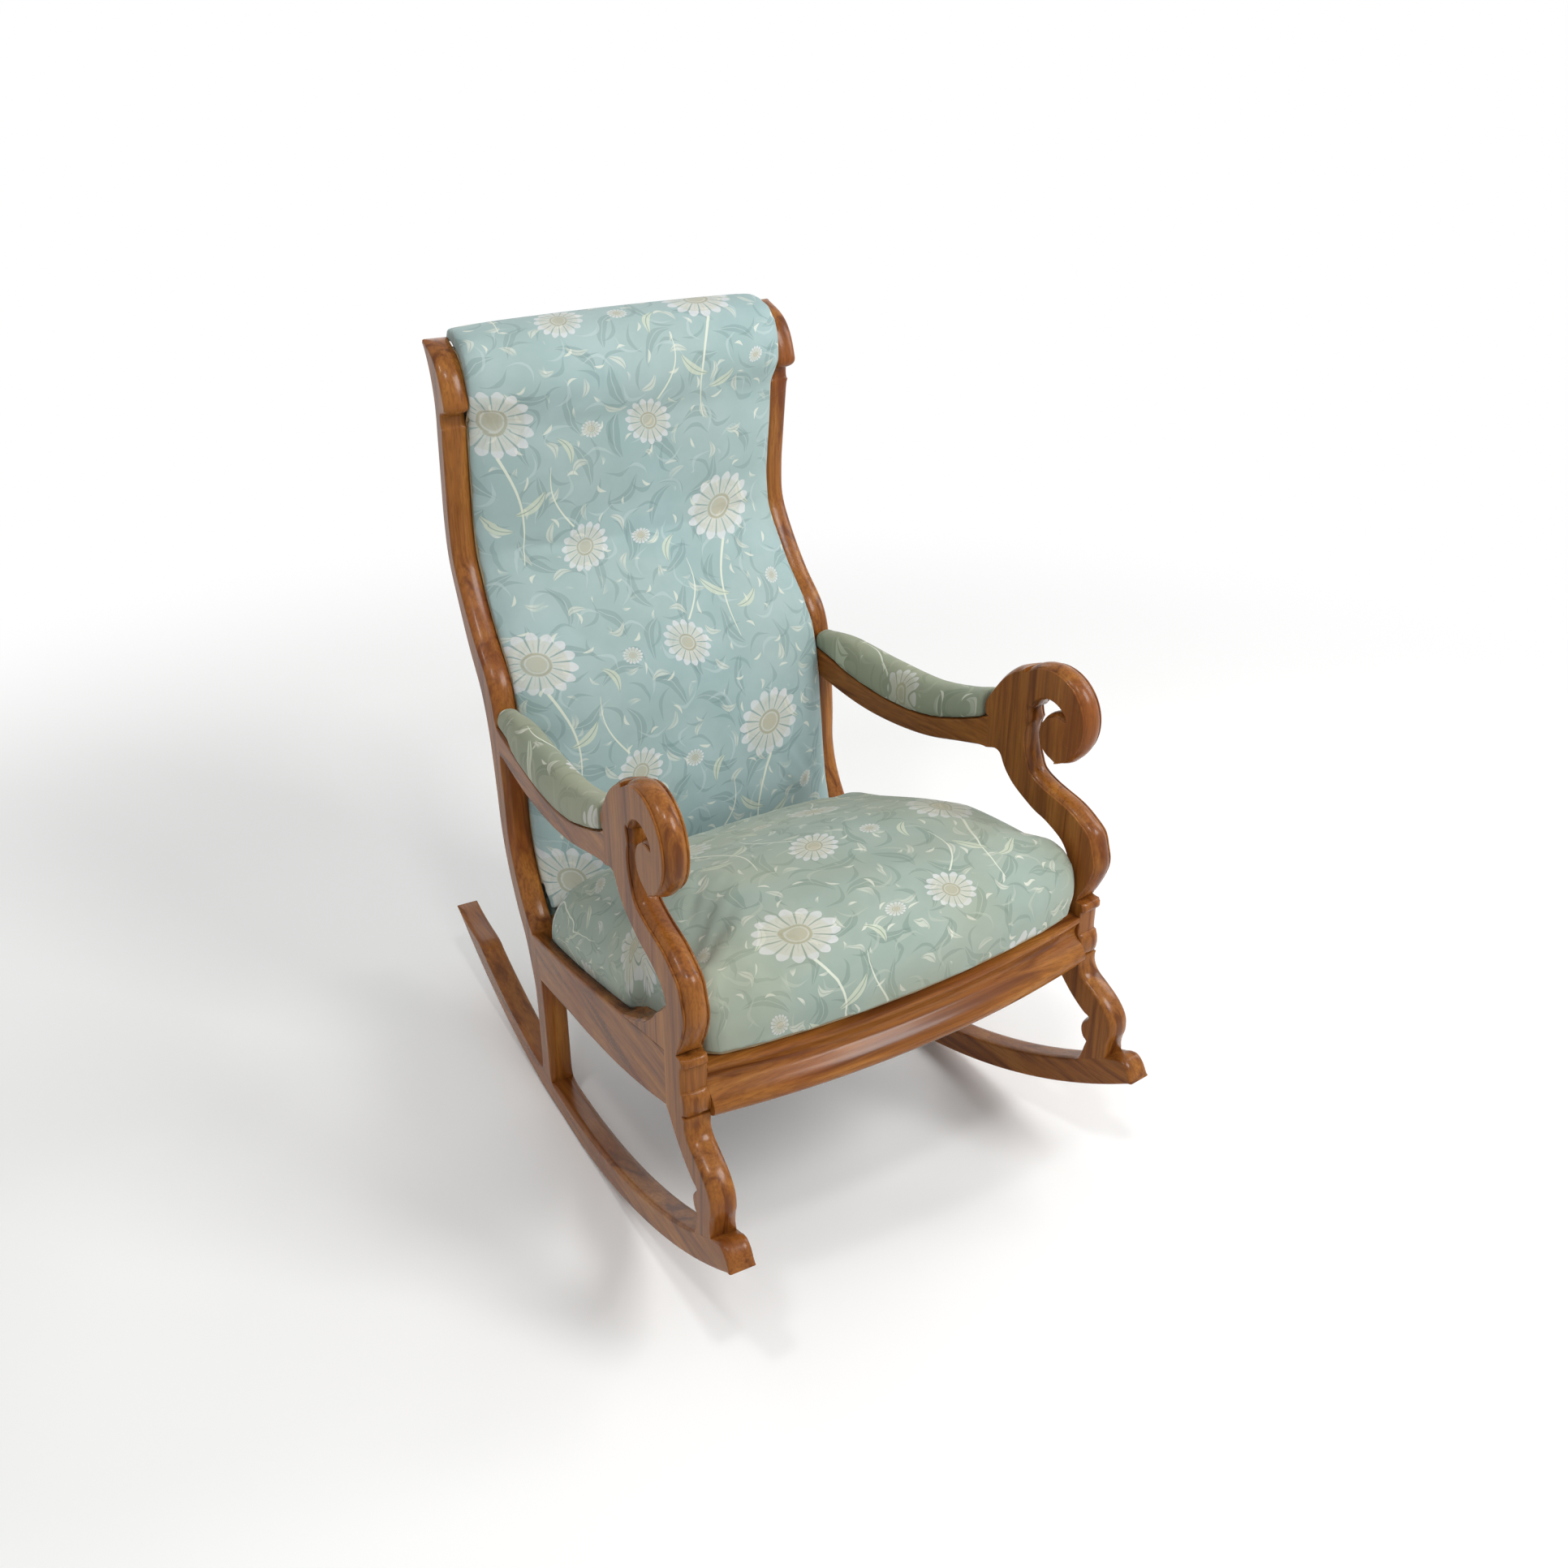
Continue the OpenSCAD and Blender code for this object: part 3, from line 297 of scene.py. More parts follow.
def show_wood(name, grain):
    """Old varnished mahogany, its grain along one axis of the model."""
    s = Shader(name)
    place = s.place()
    along = s.stretched(place, GRAIN[grain])
    figure = s.noise(along, 0.6, 5, 0.55, 1.2)
    fibre = s.noise(along, 5.0, 3, 0.6)
    cloud = s.noise(place, 7.0, 3, 0.5)
    dark, middle = rgb(96, 52, 20), rgb(140, 86, 36)
    light, red = rgb(168, 112, 50), rgb(122, 62, 28)
    color = s.mix(s.ramp(figure, 0.32, 0.52), dark, middle)
    color = s.lay(color, light, s.ramp(figure, 0.5, 0.72), 0.7)
    color = s.lay(color, red, s.ramp(cloud, 0.45, 0.7), 0.5)
    color = s.lay(color, dark, s.ramp(fibre, 0.55, 0.4), 0.35)
    rough = s.add(s.mul(cloud, 0.16), 0.17)
    return s.finish(
        color, rough, fibre, 0.12, 0.1 * MM,
        Coat_Weight=0.07, Coat_Roughness=0.1, Specular_IOR_Level=0.16)


def plain_wood(name, red, green, blue, grain="X"):
    """Unfinished wood of the inner frame."""
    s = Shader(name)
    along = s.stretched(s.place(), GRAIN[grain])
    figure = s.noise(along, 0.8, 4, 0.5, 0.8)
    dark = rgb(red * 0.75, green * 0.72, blue * 0.66)
    color = s.mix(s.ramp(figure, 0.3, 0.7), dark, rgb(red, green, blue))
    return s.finish(color, 0.7, figure, 0.2)


def spring_steel():
    """Bare steel with dull brown spots."""
    s = Shader("spring steel")
    spots = s.noise(s.place(), 90, 4, 0.6)
    color = s.mix(s.ramp(spots, 0.45, 0.7), rgb(120, 118, 115), rgb(92, 76, 62))
    return s.finish(color, s.add(s.mul(spots, 0.3), 0.25), Metallic=0.9)


def coarse_cloth(name, color_a, color_b, pitch):
    """Webbing, canvas or lining: two crossing sets of threads."""
    s = Shader(name)
    parts = s.node("ShaderNodeSeparateXYZ", {"Vector": s.place()}).outputs
    turn = 2 * math.pi / pitch
    warp = s.math("SINE", s.mul(parts[0], turn))
    weft = s.math("SINE", s.mul(s.add(parts[1], parts[2]), turn))
    weave = s.top(warp, weft)
    tone = s.noise(s.place(), 40, 4, 0.6)
    color = s.mix(s.ramp(tone, 0.3, 0.7), color_a, color_b)
    color = s.lay(color, dimmed(color_a, 0.5), s.ramp(weave, 0.4, -0.2), 0.4)
    return s.finish(color, 0.9, weave, 0.4, 0.2 * MM, Sheen_Weight=0.15)


# the printed cover fabric, whose repeat has stems, leaves and blossoms on scattered small leaves
REPEAT = (250 * MM, 320 * MM)
PETALS = 15
THREAD = 0.9 * MM
DRIFT = 26 * MM
# height over width of a scattered leaf's cell
CELL_SHAPE = 1.18
# pitch, seed, length, width, curl
BROAD = (62 * MM, 1.0, 66 * MM, 15 * MM, 0.2)
SLIM = (41 * MM, 2.4, 44 * MM, 6 * MM, 0.3)
CURLED = (53 * MM, 3.7, 46 * MM, 5 * MM, -0.34)
FLECK = (36 * MM, 5.2, 17 * MM, 4.5 * MM, 0.2)
SPRAY = (47 * MM, 6.3, 30 * MM, 9 * MM, 0.24)
# start, end, sway, width
STEMS = (
    ((34 * MM, 30 * MM), (12 * MM, -112 * MM), -16 * MM, 3.6 * MM),
    ((-62 * MM, -74 * MM), (-34 * MM, 12 * MM), 12 * MM, 2.6 * MM))
# centre, angle, length, width, curl
LEAVES = (
    ((-4 * MM, -34 * MM), 2.5, 54 * MM, 13 * MM, 0.14),
    ((38 * MM, -58 * MM), 0.5, 48 * MM, 12 * MM, -0.16),
    ((-52 * MM, 30 * MM), 1.1, 44 * MM, 11 * MM, 0.2),
    ((84 * MM, 92 * MM), 2.0, 50 * MM, 12 * MM, 0.18))
# centre, radius, tilt
BLOSSOMS = (
    ((38 * MM, 76 * MM), 56 * MM, 0.5),
    ((-74 * MM, -104 * MM), 38 * MM, -0.7),
    ((-92 * MM, 56 * MM), 15 * MM, 0.2),
    ((96 * MM, -34 * MM), 14 * MM, 0.9))
CREAM = rgb(224, 224, 210)
STEM_COLOR = rgb(216, 220, 204)
LEAF_COLOR = rgb(206, 212, 190)
PETAL_COLOR = rgb(206, 204, 194)
TIP_COLOR = rgb(218, 218, 222)
PETAL_VEIN = rgb(176, 160, 132)
RING_COLOR = rgb(168, 158, 130)
HEART_COLOR = rgb(184, 174, 150)
FADED = rgb(158, 158, 132)


class Print(Shader):
    """A generic floral print of blossoms, stems and leaves, drawn on a piece's own cloth places."""

    def lattice(self, u, v, width, height):
        """Places within a half-drop repeat, and the number of the column and of the row."""
        column = self.math("FLOOR", self.math("DIVIDE", u, width))
        odd = self.math("MODULO", self.math("ABSOLUTE", column), 2)
        moved = self.add(v, self.mul(odd, height / 2))
        row = self.math("FLOOR", self.math("DIVIDE", moved, height))
        x = self.sub(u, self.mul(self.add(column, 0.5), width))
        y = self.sub(moved, self.mul(self.add(row, 0.5), height))
        flip = self.sub(1, self.mul(odd, 2))
        return self.mul(x, flip), y, column, row

    def turned(self, x, y, angle):
        """Places turned back by an angle, which is a number or a socket."""
        if isinstance(angle, (int, float)):
            cos_a, sin_a = math.cos(angle), math.sin(angle)
        else:
            cos_a, sin_a = self.math("COSINE", angle), self.math("SINE", angle)
        return (
            self.add(self.mul(x, cos_a), self.mul(y, sin_a)),
            self.sub(self.mul(y, cos_a), self.mul(x, sin_a)))

    def leaf(self, x, y, centre, angle, length, width, curl):
        """How much a place is in a pointed leaf, and how far it lies from its middle vein."""
        x, y = self.turned(self.sub(x, centre[0]), self.sub(y, centre[1]), angle)
        along = self.math("DIVIDE", x, length / 2)
        room = self.sub(1, self.mul(along, along))
        y = self.sub(y, self.mul(room, curl * length))
        edge = self.sub(self.mul(room, width / 2), self.math("ABSOLUTE", y))
        inside = self.ramp(edge, 0, 0.5 * MM)
        return inside, self.math("ABSOLUTE", y)

    def blossom(self, x, y, centre, radius, tilt):
        """Masks of a blossom: petals, lines between them, their veins and tips, heart and ring."""
        x, y = self.turned(self.sub(x, centre[0]), self.sub(y, centre[1]), tilt)
        y = self.math("DIVIDE", y, 0.8)
        r = self.math("SQRT", self.add(self.mul(x, x), self.mul(y, y)))
        angle = self.math("ARCTAN2", y, x)
        swing = self.mul(angle, PETALS / 2)
        ridge = self.math("ABSOLUTE", self.math("COSINE", swing))
        gap = self.math("ABSOLUTE", self.math("SINE", swing))
        reach = self.mul(self.add(0.8, self.mul(ridge, 0.2)), radius)
        petals = self.ramp(self.sub(reach, r), 0, 0.7 * MM)
        lines = self.mul(self.ramp(ridge, 0.34, 0.16), self.ramp(r, radius * 0.32, radius * 0.42))
        veins = self.mul(self.ramp(gap, 0.16, 0.05), self.ramp(r, radius * 0.72, radius * 0.62))
        tips = self.ramp(r, radius * 0.74, radius * 0.8)
        heart = self.ramp(r, radius * 0.27, radius * 0.22)
        ring = self.mul(
            self.ramp(r, radius * 0.27, radius * 0.3), self.ramp(r, radius * 0.38, radius * 0.34))
        return petals, lines, veins, tips, heart, ring

    def stem(self, x, y, start, end, sway, width):
        """A curved stem between two heights, thinner at its end."""
        share = self.math("DIVIDE", self.sub(y, start[1]), end[1] - start[1])
        bend = self.mul(self.math("SINE", self.mul(share, math.pi)), sway)
        middle = self.add(self.add(start[0], self.mul(share, end[0] - start[0])), bend)
        away = self.math("ABSOLUTE", self.sub(x, middle))
        half = self.mul(self.sub(1.25, share), width / 2)
        inside = self.ramp(self.sub(half, away), -0.3 * MM, 0.3 * MM)
        between = self.mul(self.ramp(share, -0.01, 0.01), self.ramp(share, 1.01, 0.99))
        return self.mul(inside, between)


def scattered_leaves(s, u, v, pitch, seed, length, width, curl):
    """One leaf in each cell of a small lattice, each with its own turn."""
    x, y, column, row = s.lattice(s.add(u, seed * pitch), v, pitch, pitch * CELL_SHAPE)
    cell = s.node("ShaderNodeCombineXYZ", {"X": column, "Y": row, "Z": seed}).outputs[0]
    chance = s.node(
        "ShaderNodeTexWhiteNoise", {"Vector": cell}, noise_dimensions="3D").outputs[0]
    return s.leaf(x, y, (0, 0), s.mul(chance, 2 * math.pi), length, width, curl)


def cover_fabric(name, ground, leaf_dark, leaf_light, fade, offset):
    """Cotton furnishing print: pale blossoms on a duck-egg ground with foliage in its own tones."""
    s = Print(name)
    uv = s.node("ShaderNodeUVMap", uv_map="cloth").outputs[0]
    drift = s.node(
        "ShaderNodeTexNoise",
        {"Vector": uv, "Scale": 14, "Detail": 2, "Roughness": 0.5}).outputs["Color"]
    drift = s.node(
        "ShaderNodeVectorMath", {0: drift, 1: (0.5, 0.5, 0.5)}, operation="SUBTRACT").outputs[0]
    drift = s.node(
        "ShaderNodeVectorMath", {0: drift, "Scale": DRIFT}, operation="SCALE").outputs[0]
    warped = s.node("ShaderNodeVectorMath", {0: uv, 1: drift}, operation="ADD").outputs[0]
    wu, wv = s.node("ShaderNodeSeparateXYZ", {"Vector": warped}).outputs[:2]
    cell = s.node("ShaderNodeSeparateXYZ", {"Vector": uv}).outputs
    u, v = s.add(cell[0], offset[0]), s.add(cell[1], offset[1])

    # ground and tone-on-tone foliage
    shade_of = s.ramp(s.noise(uv, 9, 4, 0.6), 0.35, 0.7)
    color = s.lay(ground, leaf_light, shade_of, 0.35)
    broad, vein = scattered_leaves(s, wu, wv, *BROAD)
    color = s.lay(color, leaf_dark, broad, 0.42)
    color = s.lay(color, leaf_light, s.mul(s.ramp(vein, 0.9 * MM, 0.4 * MM), broad), 0.5)
    slim, _ = scattered_leaves(s, wu, wv, *SLIM)
    color = s.lay(color, leaf_dark, slim, 0.4)
    curl, _ = scattered_leaves(s, wu, wv, *CURLED)
    color = s.lay(color, leaf_light, curl, 0.5)
    fleck, _ = scattered_leaves(s, wu, wv, *FLECK)
    here = s.ramp(s.noise(uv, 17, 1, 0.5), 0.42, 0.52)
    color = s.lay(color, CREAM, s.mul(fleck, here), 0.6)
    spray, vein = scattered_leaves(s, wu, wv, *SPRAY)
    spray = s.mul(spray, s.ramp(s.noise(uv, 12, 1, 0.5), 0.54, 0.46))
    color = s.lay(color, CREAM, spray, 0.42)
    color = s.lay(color, leaf_dark, s.mul(s.ramp(vein, 0.8 * MM, 0.3 * MM), spray), 0.5)

    # stems, leaves and blossoms of the repeat
    x, y, _, _ = s.lattice(u, v, *REPEAT)
    color = s.lay(color, STEM_COLOR, s.top(*[s.stem(x, y, *stem) for stem in STEMS]), 0.85)
    for leaf in LEAVES:
        inside, vein = s.leaf(x, y, *leaf)
        color = s.lay(color, LEAF_COLOR, inside, 0.62)
        color = s.lay(color, leaf_dark, s.mul(s.ramp(vein, 0.9 * MM, 0.4 * MM), inside), 0.7)
    for blossom in BLOSSOMS:
        petals, lines, veins, tips, heart, ring = s.blossom(x, y, *blossom)
        bloom = s.lay(PETAL_COLOR, TIP_COLOR, tips, 0.8)
        bloom = s.lay(bloom, leaf_dark, lines, 0.85)
        bloom = s.lay(bloom, PETAL_VEIN, veins, 0.45)
        bloom = s.mix(ring, bloom, RING_COLOR)
        bloom = s.mix(heart, bloom, HEART_COLOR)
        rubbed = s.add(s.mul(s.noise(uv, 26, 3, 0.6), 0.6), 0.36)
        color = s.lay(color, bloom, petals, rubbed)

    # fading from use, and the weave
    worn = s.ramp(s.noise(s.place(), 5, 3, 0.5), 0.35, 0.65)
    color = s.lay(color, FADED, worn, fade)
    turn = 2 * math.pi / THREAD
    weave = s.top(s.math("SINE", s.mul(u, turn)), s.math("SINE", s.mul(v, turn)))
    return s.finish(
        color, 0.86, weave, 0.25, 0.12 * MM, Sheen_Weight=0.12, Specular_IOR_Level=0.25)


# boards of the side frames, with worked edges
STEP = 3 * MM
CORNER = math.radians(50)
ROUND_STEPS = 5
# the grid, in millimetres, to which an outline's points are matched
GRID = 0.01
# how far off the outer face a point on it, or an edge's end beside it, may lie
ON_FACE = 0.05 * MM
BESIDE_FACE = 0.1 * MM
# an edge is crisp within the first distance of another board and fully worked past both
CRISP = 0.6 * MM
CRISP_OVER = 9 * MM
CRISP_SHARE = 0.03
ROOM_USED = 0.85
SIZE_PASSES = 4
BOARD_SHARP = 50
BOARD_WEIGHT = 90


def outer_outline(node, side):
    """The longest edge loop of a board's outer face, in its side frame's plane."""
    mesh = CAD[node].data
    local = to_side(mesh_points(mesh), side)
    keys = [tuple(np.round(p[1:] / (GRID * MM)).astype(int)) for p in local]
    flat = np.abs(local[:, 0]) < ON_FACE
    seen = {}
    mesh.calc_loop_triangles()
    for tri in mesh.loop_triangles:
        corners = tri.vertices
        if not all(flat[i] for i in corners):
            continue
        for a, b in ((0, 1), (1, 2), (2, 0)):
            edge = (keys[corners[a]], keys[corners[b]])
            if edge[::-1] in seen:
                del seen[edge[::-1]]
            elif edge[0] != edge[1]:
                seen[edge] = True
    after = {a: b for a, b in seen}
    loops = []
    while after:
        start = next(iter(after))
        loop = [start]
        here = after.pop(start)
        while here != start and here in after:
            loop.append(here)
            here = after.pop(here)
        loops.append(np.array(loop, float) * GRID * MM)
    return max(loops, key=lambda loop: np.abs(np.roll(loop, 1, axis=0) - loop).sum())


def curve_between(points):
    """A smooth line through points that has no corner between its ends."""
    n = len(points)
    if n < 3:
        length = np.linalg.norm(points[-1] - points[0])
        share = np.linspace(0, 1, max(2, int(length / STEP) + 1))[:, None]
        return points[0] + (points[-1] - points[0]) * share
    line = []
    for i in range(n - 1):
        a, b, c, d = (points[max(i - 1, 0)], points[i], points[i + 1], points[min(i + 2, n - 1)])
        steps = max(1, int(np.linalg.norm(c - b) / STEP + 0.5))
        for k in range(steps):
            t = k / steps
            line.append(0.5 * (
                2 * b + (c - a) * t + (2 * a - 5 * b + 4 * c - d) * t * t
                + (3 * b - 3 * c + d - a) * t * t * t))
    line.append(points[-1])
    return np.array(line)


def smooth_outline(loop):
    """The loop with smooth curves between its corners, drawn counter-clockwise."""
    area = np.sum(loop[:, 0] * np.roll(loop[:, 1], -1) - np.roll(loop[:, 0], -1) * loop[:, 1])
    if area < 0:
        loop = loop[::-1]
    ahead = np.roll(loop, -1, axis=0) - loop
    behind = loop - np.roll(loop, 1, axis=0)
    turn = np.abs(np.arctan2(
        behind[:, 0] * ahead[:, 1] - behind[:, 1] * ahead[:, 0],
        (behind * ahead).sum(axis=1)))
    corners = [i for i in range(len(loop)) if turn[i] > CORNER] or [0]
    line = []
    for a, b in zip(corners, corners[1:] + [corners[0] + len(loop)]):
        part = curve_between(loop[[i % len(loop) for i in range(a, b + 1)]])
        line.extend(part[:-1])
    return np.array(line)


def inward(outline):
    """The direction into the outline at each point."""
    tangent = np.roll(outline, -1, axis=0) - np.roll(outline, 1, axis=0)
    tangent /= np.linalg.norm(tangent, axis=1)[:, None]
    return np.stack([-tangent[:, 1], tangent[:, 0]], axis=1)


def room_inside(outline, normals):
    """The radius of the largest circle inside the outline that touches it at each point."""
    apart = outline[None, :, :] - outline[:, None, :]
    square = (apart ** 2).sum(axis=2)
    depth = (apart * normals[:, None, :]).sum(axis=2)
    radius = np.where(
        depth > 2 * GRID * MM, square / (2 * np.maximum(depth, GRID * MM)), FAR)
    return radius.min(axis=1)


def near_wood(node, points):
    """Distance of points from the other wooden nodes."""
    best = np.full(len(points), FAR)
    for other, tree in WOOD_TREES.items():
        if other == node:
            continue
        for i, p in enumerate(points):
            hit = tree.find_nearest(Vector(p), best[i])
            if hit[0] is not None:
                best[i] = min(best[i], hit[3])
    return best


def softened(values, passes):
    """Values round a loop, each lowered to the mean of it and its neighbours if that is less."""
    for _ in range(passes):
        values = np.minimum(values, (np.roll(values, 1) + values + np.roll(values, -1)) / 3)
    return values


# profiles of a worked edge: shares of inset and depth, from the flat face to the edge
ROUND = [
    (1 - math.sin(t), 1 - math.cos(t)) for t in np.linspace(0, math.pi / 2, ROUND_STEPS + 1)]
QUIRKED = [
    (1, 0), (0.86, 0.03), (0.74, 0.1), (0.8, 0.17), (0.98, 0.21), (0.74, 0.28), (0.44, 0.42),
    (0.2, 0.6), (0.05, 0.82), (0, 1)]


def rounded_board(node, side, inset, depth, fuller, profile):
    """A board with worked edges, which stay crisp where another board meets it. The middle of the
    edge stands out by a share of the inset, so that the board looks as broad as its solid."""
    outline = smooth_outline(outer_outline(node, side))
    normals = inward(outline)
    room = room_inside(outline, normals)
    rings = []
    for across, order in ((0, 1), (-BOARD, -1)):
        plane = np.column_stack([np.full(len(outline), across), outline])
        away = near_wood(node, from_side(plane, side))
        free = np.clip((away - CRISP) / CRISP_OVER, CRISP_SHARE, 1)
        size = softened(np.minimum(free * inset, room * ROOM_USED), SIZE_PASSES)
        half = [
            np.column_stack([
                across - order * share_in * depth * size / inset,
                outline + normals * ((share_out - fuller) * size)[:, None]])
            for share_out, share_in in profile]
        rings.extend(half if order > 0 else half[::-1])
    count = len(outline)
    points = from_side(np.concatenate(rings), side)
    last = (len(rings) - 1) * count
    faces = [list(range(count)), list(range(last, last + count))[::-1]]
    obj = new_piece(
        node + "_carved", points, faces + ring_faces(count, len(rings)), BOARD_SHARP)
    weight_normals(obj, BOARD_WEIGHT)
    return obj


def wood_tree(node):
    """A CAD node's surface, for distances and rays."""
    mesh = CAD[node].data
    mesh.calc_loop_triangles()
    return BVHTree.FromPolygons(
        [v.co.copy() for v in mesh.vertices], [list(t.vertices) for t in mesh.loop_triangles])


SIDES = ((-1, "_left"), (1, "_right"))
FRAME_WOOD = [
    kind + end for kind in ("rocker", "front_leg", "stile", "side_rail", "arm_support", "arm")
    for _, end in SIDES]
WOOD_TREES = {node: wood_tree(node) for node in FRAME_WOOD + ["front_rail"]}
BOARDS = {
    # kind: inset, depth, share of the inset that the middle of the edge stands out, profile, grain
    "rocker": (4 * MM, 9 * MM, 0, ROUND, "Y"),
    "front_leg": (6 * MM, 15 * MM, 0.3, ROUND, "Z"),
    "stile": (6 * MM, 15 * MM, 0.3, ROUND, "Z"),
    "arm_support": (6 * MM, 15.5 * MM, 0.3, QUIRKED, "Z"),
    "arm": (4 * MM, 8 * MM, 0, ROUND, "Y"),
}


EASED = 2.5 * MM
EASED_STEPS = 4
SIDE_RAIL_SHARP = 35
SIDE_RAIL_WEIGHT = 50


def side_rail(side, node):
    """The side rail keeps its rebate, and its outer edges are eased."""
    shape = welded(CAD[node].data)
    bmesh.ops.dissolve_limit(
        shape, angle_limit=FLAT_ANGLE, verts=shape.verts, edges=shape.edges)
    places = to_side(np.array([v.co for v in shape.verts]), side)
    shape.verts.index_update()
    eased = []
    for edge in shape.edges:
        a, b = (places[v.index] for v in edge.verts)
        outer = max(abs(a[0]), abs(b[0])) < BESIDE_FACE
        level = abs(a[2] - b[2]) < abs(a[1] - b[1])
        if outer and level and len(edge.link_faces) == 2:
            eased.append(edge)
    bmesh.ops.bevel(
        shape, geom=eased, offset=EASED, segments=EASED_STEPS, profile=0.5, affect="EDGES",
        clamp_overlap=True)
    mesh = bpy.data.meshes.new(node + "_carved")
    shape.to_mesh(mesh)
    shape.free()
    shade(mesh, SIDE_RAIL_SHARP)
    obj = linked(node + "_carved", mesh)
    weight_normals(obj, SIDE_RAIL_WEIGHT)
    return obj


def add_boards():
    """All boards of both side frames. Returns the varnished woods by the axis of their grain."""
    woods = {axis: show_wood("varnished wood " + axis, axis) for axis in "XYZ"}
    for kind, (inset, depth, fuller, profile, grain) in BOARDS.items():
        for side, end in SIDES:
            board = rounded_board(kind + end, side, inset, depth, fuller, profile)
            finish_piece(board, woods[grain], "show_wood", kind + end)
    for side, end in SIDES:
        rail = side_rail(side, "side_rail" + end)
        finish_piece(rail, woods["Y"], "show_wood", "side_rail" + end)
    return woods


# front rail: one moulding swept along its bow
RAIL_TOP = 366 * MM
RAIL_H = 67 * MM
RAIL_T = 30 * MM
RAIL_BOW = 27 * MM
BAND_OUT = 16 * MM
SWEEP = 64
RAIL_END_GAP = 0.2 * MM
RAIL_SHARP = 40
# shares of the rail's thickness and of the band's, and of the way down
MOULDING = [
    (-1.0, 0, 0), (-0.14, 0, 0.02), (-0.05, 0, 0.03), (0.01, 0, 0.07), (0.01, 0, 0.11),
    (-0.03, 0, 0.15), (-0.13, 0, 0.21), (-0.19, 0, 0.29), (-0.2, 0, 0.36), (-0.16, 0, 0.43),
    (-0.06, 0.1, 0.49), (0, 0.35, 0.55), (0, 0.68, 0.62), (0, 0.91, 0.7), (0, 1, 0.79),
    (0, 0.94, 0.87), (0, 0.74, 0.93), (0, 0.42, 0.98), (0, 0.05, 1.0), (-1.0, 0, 1.0)]


def front_rail(wood):
    half = FRAME_HALF - BOARD / math.cos(SPLAY)
    radius = (half ** 2 + RAIL_BOW ** 2) / (2 * RAIL_BOW)
    points = []
    profile = [
        (body * RAIL_T + band * BAND_OUT, RAIL_TOP - fall * RAIL_H)
        for body, band, fall in MOULDING]
    for k in range(SWEEP + 1):
        t = 2 * k / SWEEP - 1
        for out, z in profile:
            end = half + out * math.tan(SPLAY) - RAIL_END_GAP
            x = t * end
            y = radius - RAIL_BOW - math.sqrt((radius + out) ** 2 - x * x)
            points.append((x, y - DEPTH_MIDDLE, z))
    count = len(profile)
    faces = ring_faces(count, SWEEP + 1)
    faces.append(list(range(count)))
    faces.append(list(range(SWEEP * count, SWEEP * count + count))[::-1])
    rail = new_piece("front_rail_moulded", points, faces, RAIL_SHARP)
    finish_piece(rail, wood, "show_wood", "front_rail")


# padded pieces, which are tacked down within one distance of wood and free past another
TACKED = 1 * MM
FREE = 28 * MM
HELD_BELOW = 0.2
START_PASSES = 3
SMOOTH_PASSES = 2
SIM_FRAMES = 20
CLOTH = {
    "quality": 5, "mass": 0.3, "tension_stiffness": 15, "compression_stiffness": 15,
    "shear_stiffness": 5, "bending_stiffness": 0.5, "use_pressure": True,
    "uniform_pressure_force": 4.0, "vertex_group_mass": "held"}
# size of the remesh, how much smaller the start is, the most that a point may swell, and the fill
SEAT_PADDING = (6 * MM, 1.5 * MM, 7 * MM, 0.8)
BACK_PADDING = (6 * MM, 1.2 * MM, 6 * MM, 0.8)
ARM_PADDING = (4 * MM, 1 * MM, 4 * MM, 0.9)
# a point is held where it faces its backing by more than this, out of 1
UNDER_SEAT = 0.2
BEHIND_BACK = 0.3
UNDER_PAD = 0.4


def remeshed(obj, voxel):
    made = obj.modifiers.new("remesh", "REMESH")
    made.mode = "VOXEL"
    made.voxel_size = voxel
    apply_modifiers(obj)


def vertex_normals(mesh):
    normals = np.zeros(len(mesh.vertices) * 3)
    mesh.vertices.foreach_get("normal", normals)
    return normals.reshape(-1, 3)


def neighbours_mean(mesh, points):
    """The mean place of the points that each point has an edge to."""
    edges = np.zeros(len(mesh.edges) * 2, dtype=int)
    mesh.edges.foreach_get("vertices", edges)
    edges = edges.reshape(-1, 2)
    total = np.zeros_like(points)
    count = np.zeros(len(points))
    for a, b in ((0, 1), (1, 0)):
        np.add.at(total, edges[:, a], points[edges[:, b]])
        np.add.at(count, edges[:, a], 1)
    return total / np.maximum(count, 1)[:, None]


def relaxed(mesh, passes, loose):
    """Smooths a mesh where it is loose, from 0 where it is tacked down to 1."""
    points = mesh_points(mesh)
    for _ in range(passes):
        points += 0.5 * loose[:, None] * (neighbours_mean(mesh, points) - points)
    set_points(mesh, points)


def looseness(mesh):
    """0 where a cushion lies against wood and 1 where it is free of it."""
    away = near_wood("", mesh_points(mesh))
    return np.clip((away - TACKED) / (FREE - TACKED), 0, 1)


def inflate(obj, held, cap):
    """Cloth that swells, held where it is tacked down, with no point moved past the cap."""
    start = mesh_points(obj.data)
    group = obj.vertex_groups.new(name="held")
    group.add([int(i) for i in np.nonzero(held)[0]], 1.0, "REPLACE")
    cloth = obj.modifiers.new("cloth", "CLOTH")
    for key, value in CLOTH.items():
        setattr(cloth.settings, key, value)
    cloth.settings.effector_weights.gravity = 0
    cloth.point_cache.frame_start = 1
    cloth.point_cache.frame_end = SIM_FRAMES
    scene = bpy.context.scene
    for step in range(1, SIM_FRAMES + 1):
        scene.frame_set(step)
    apply_modifiers(obj)
    scene.frame_set(1)
    obj.vertex_groups.clear()
    moved = mesh_points(obj.data) - start
    length = np.linalg.norm(moved, axis=1)[:, None]
    set_points(obj.data, start + moved * np.minimum(1, cap / np.maximum(length, 1e-9)))


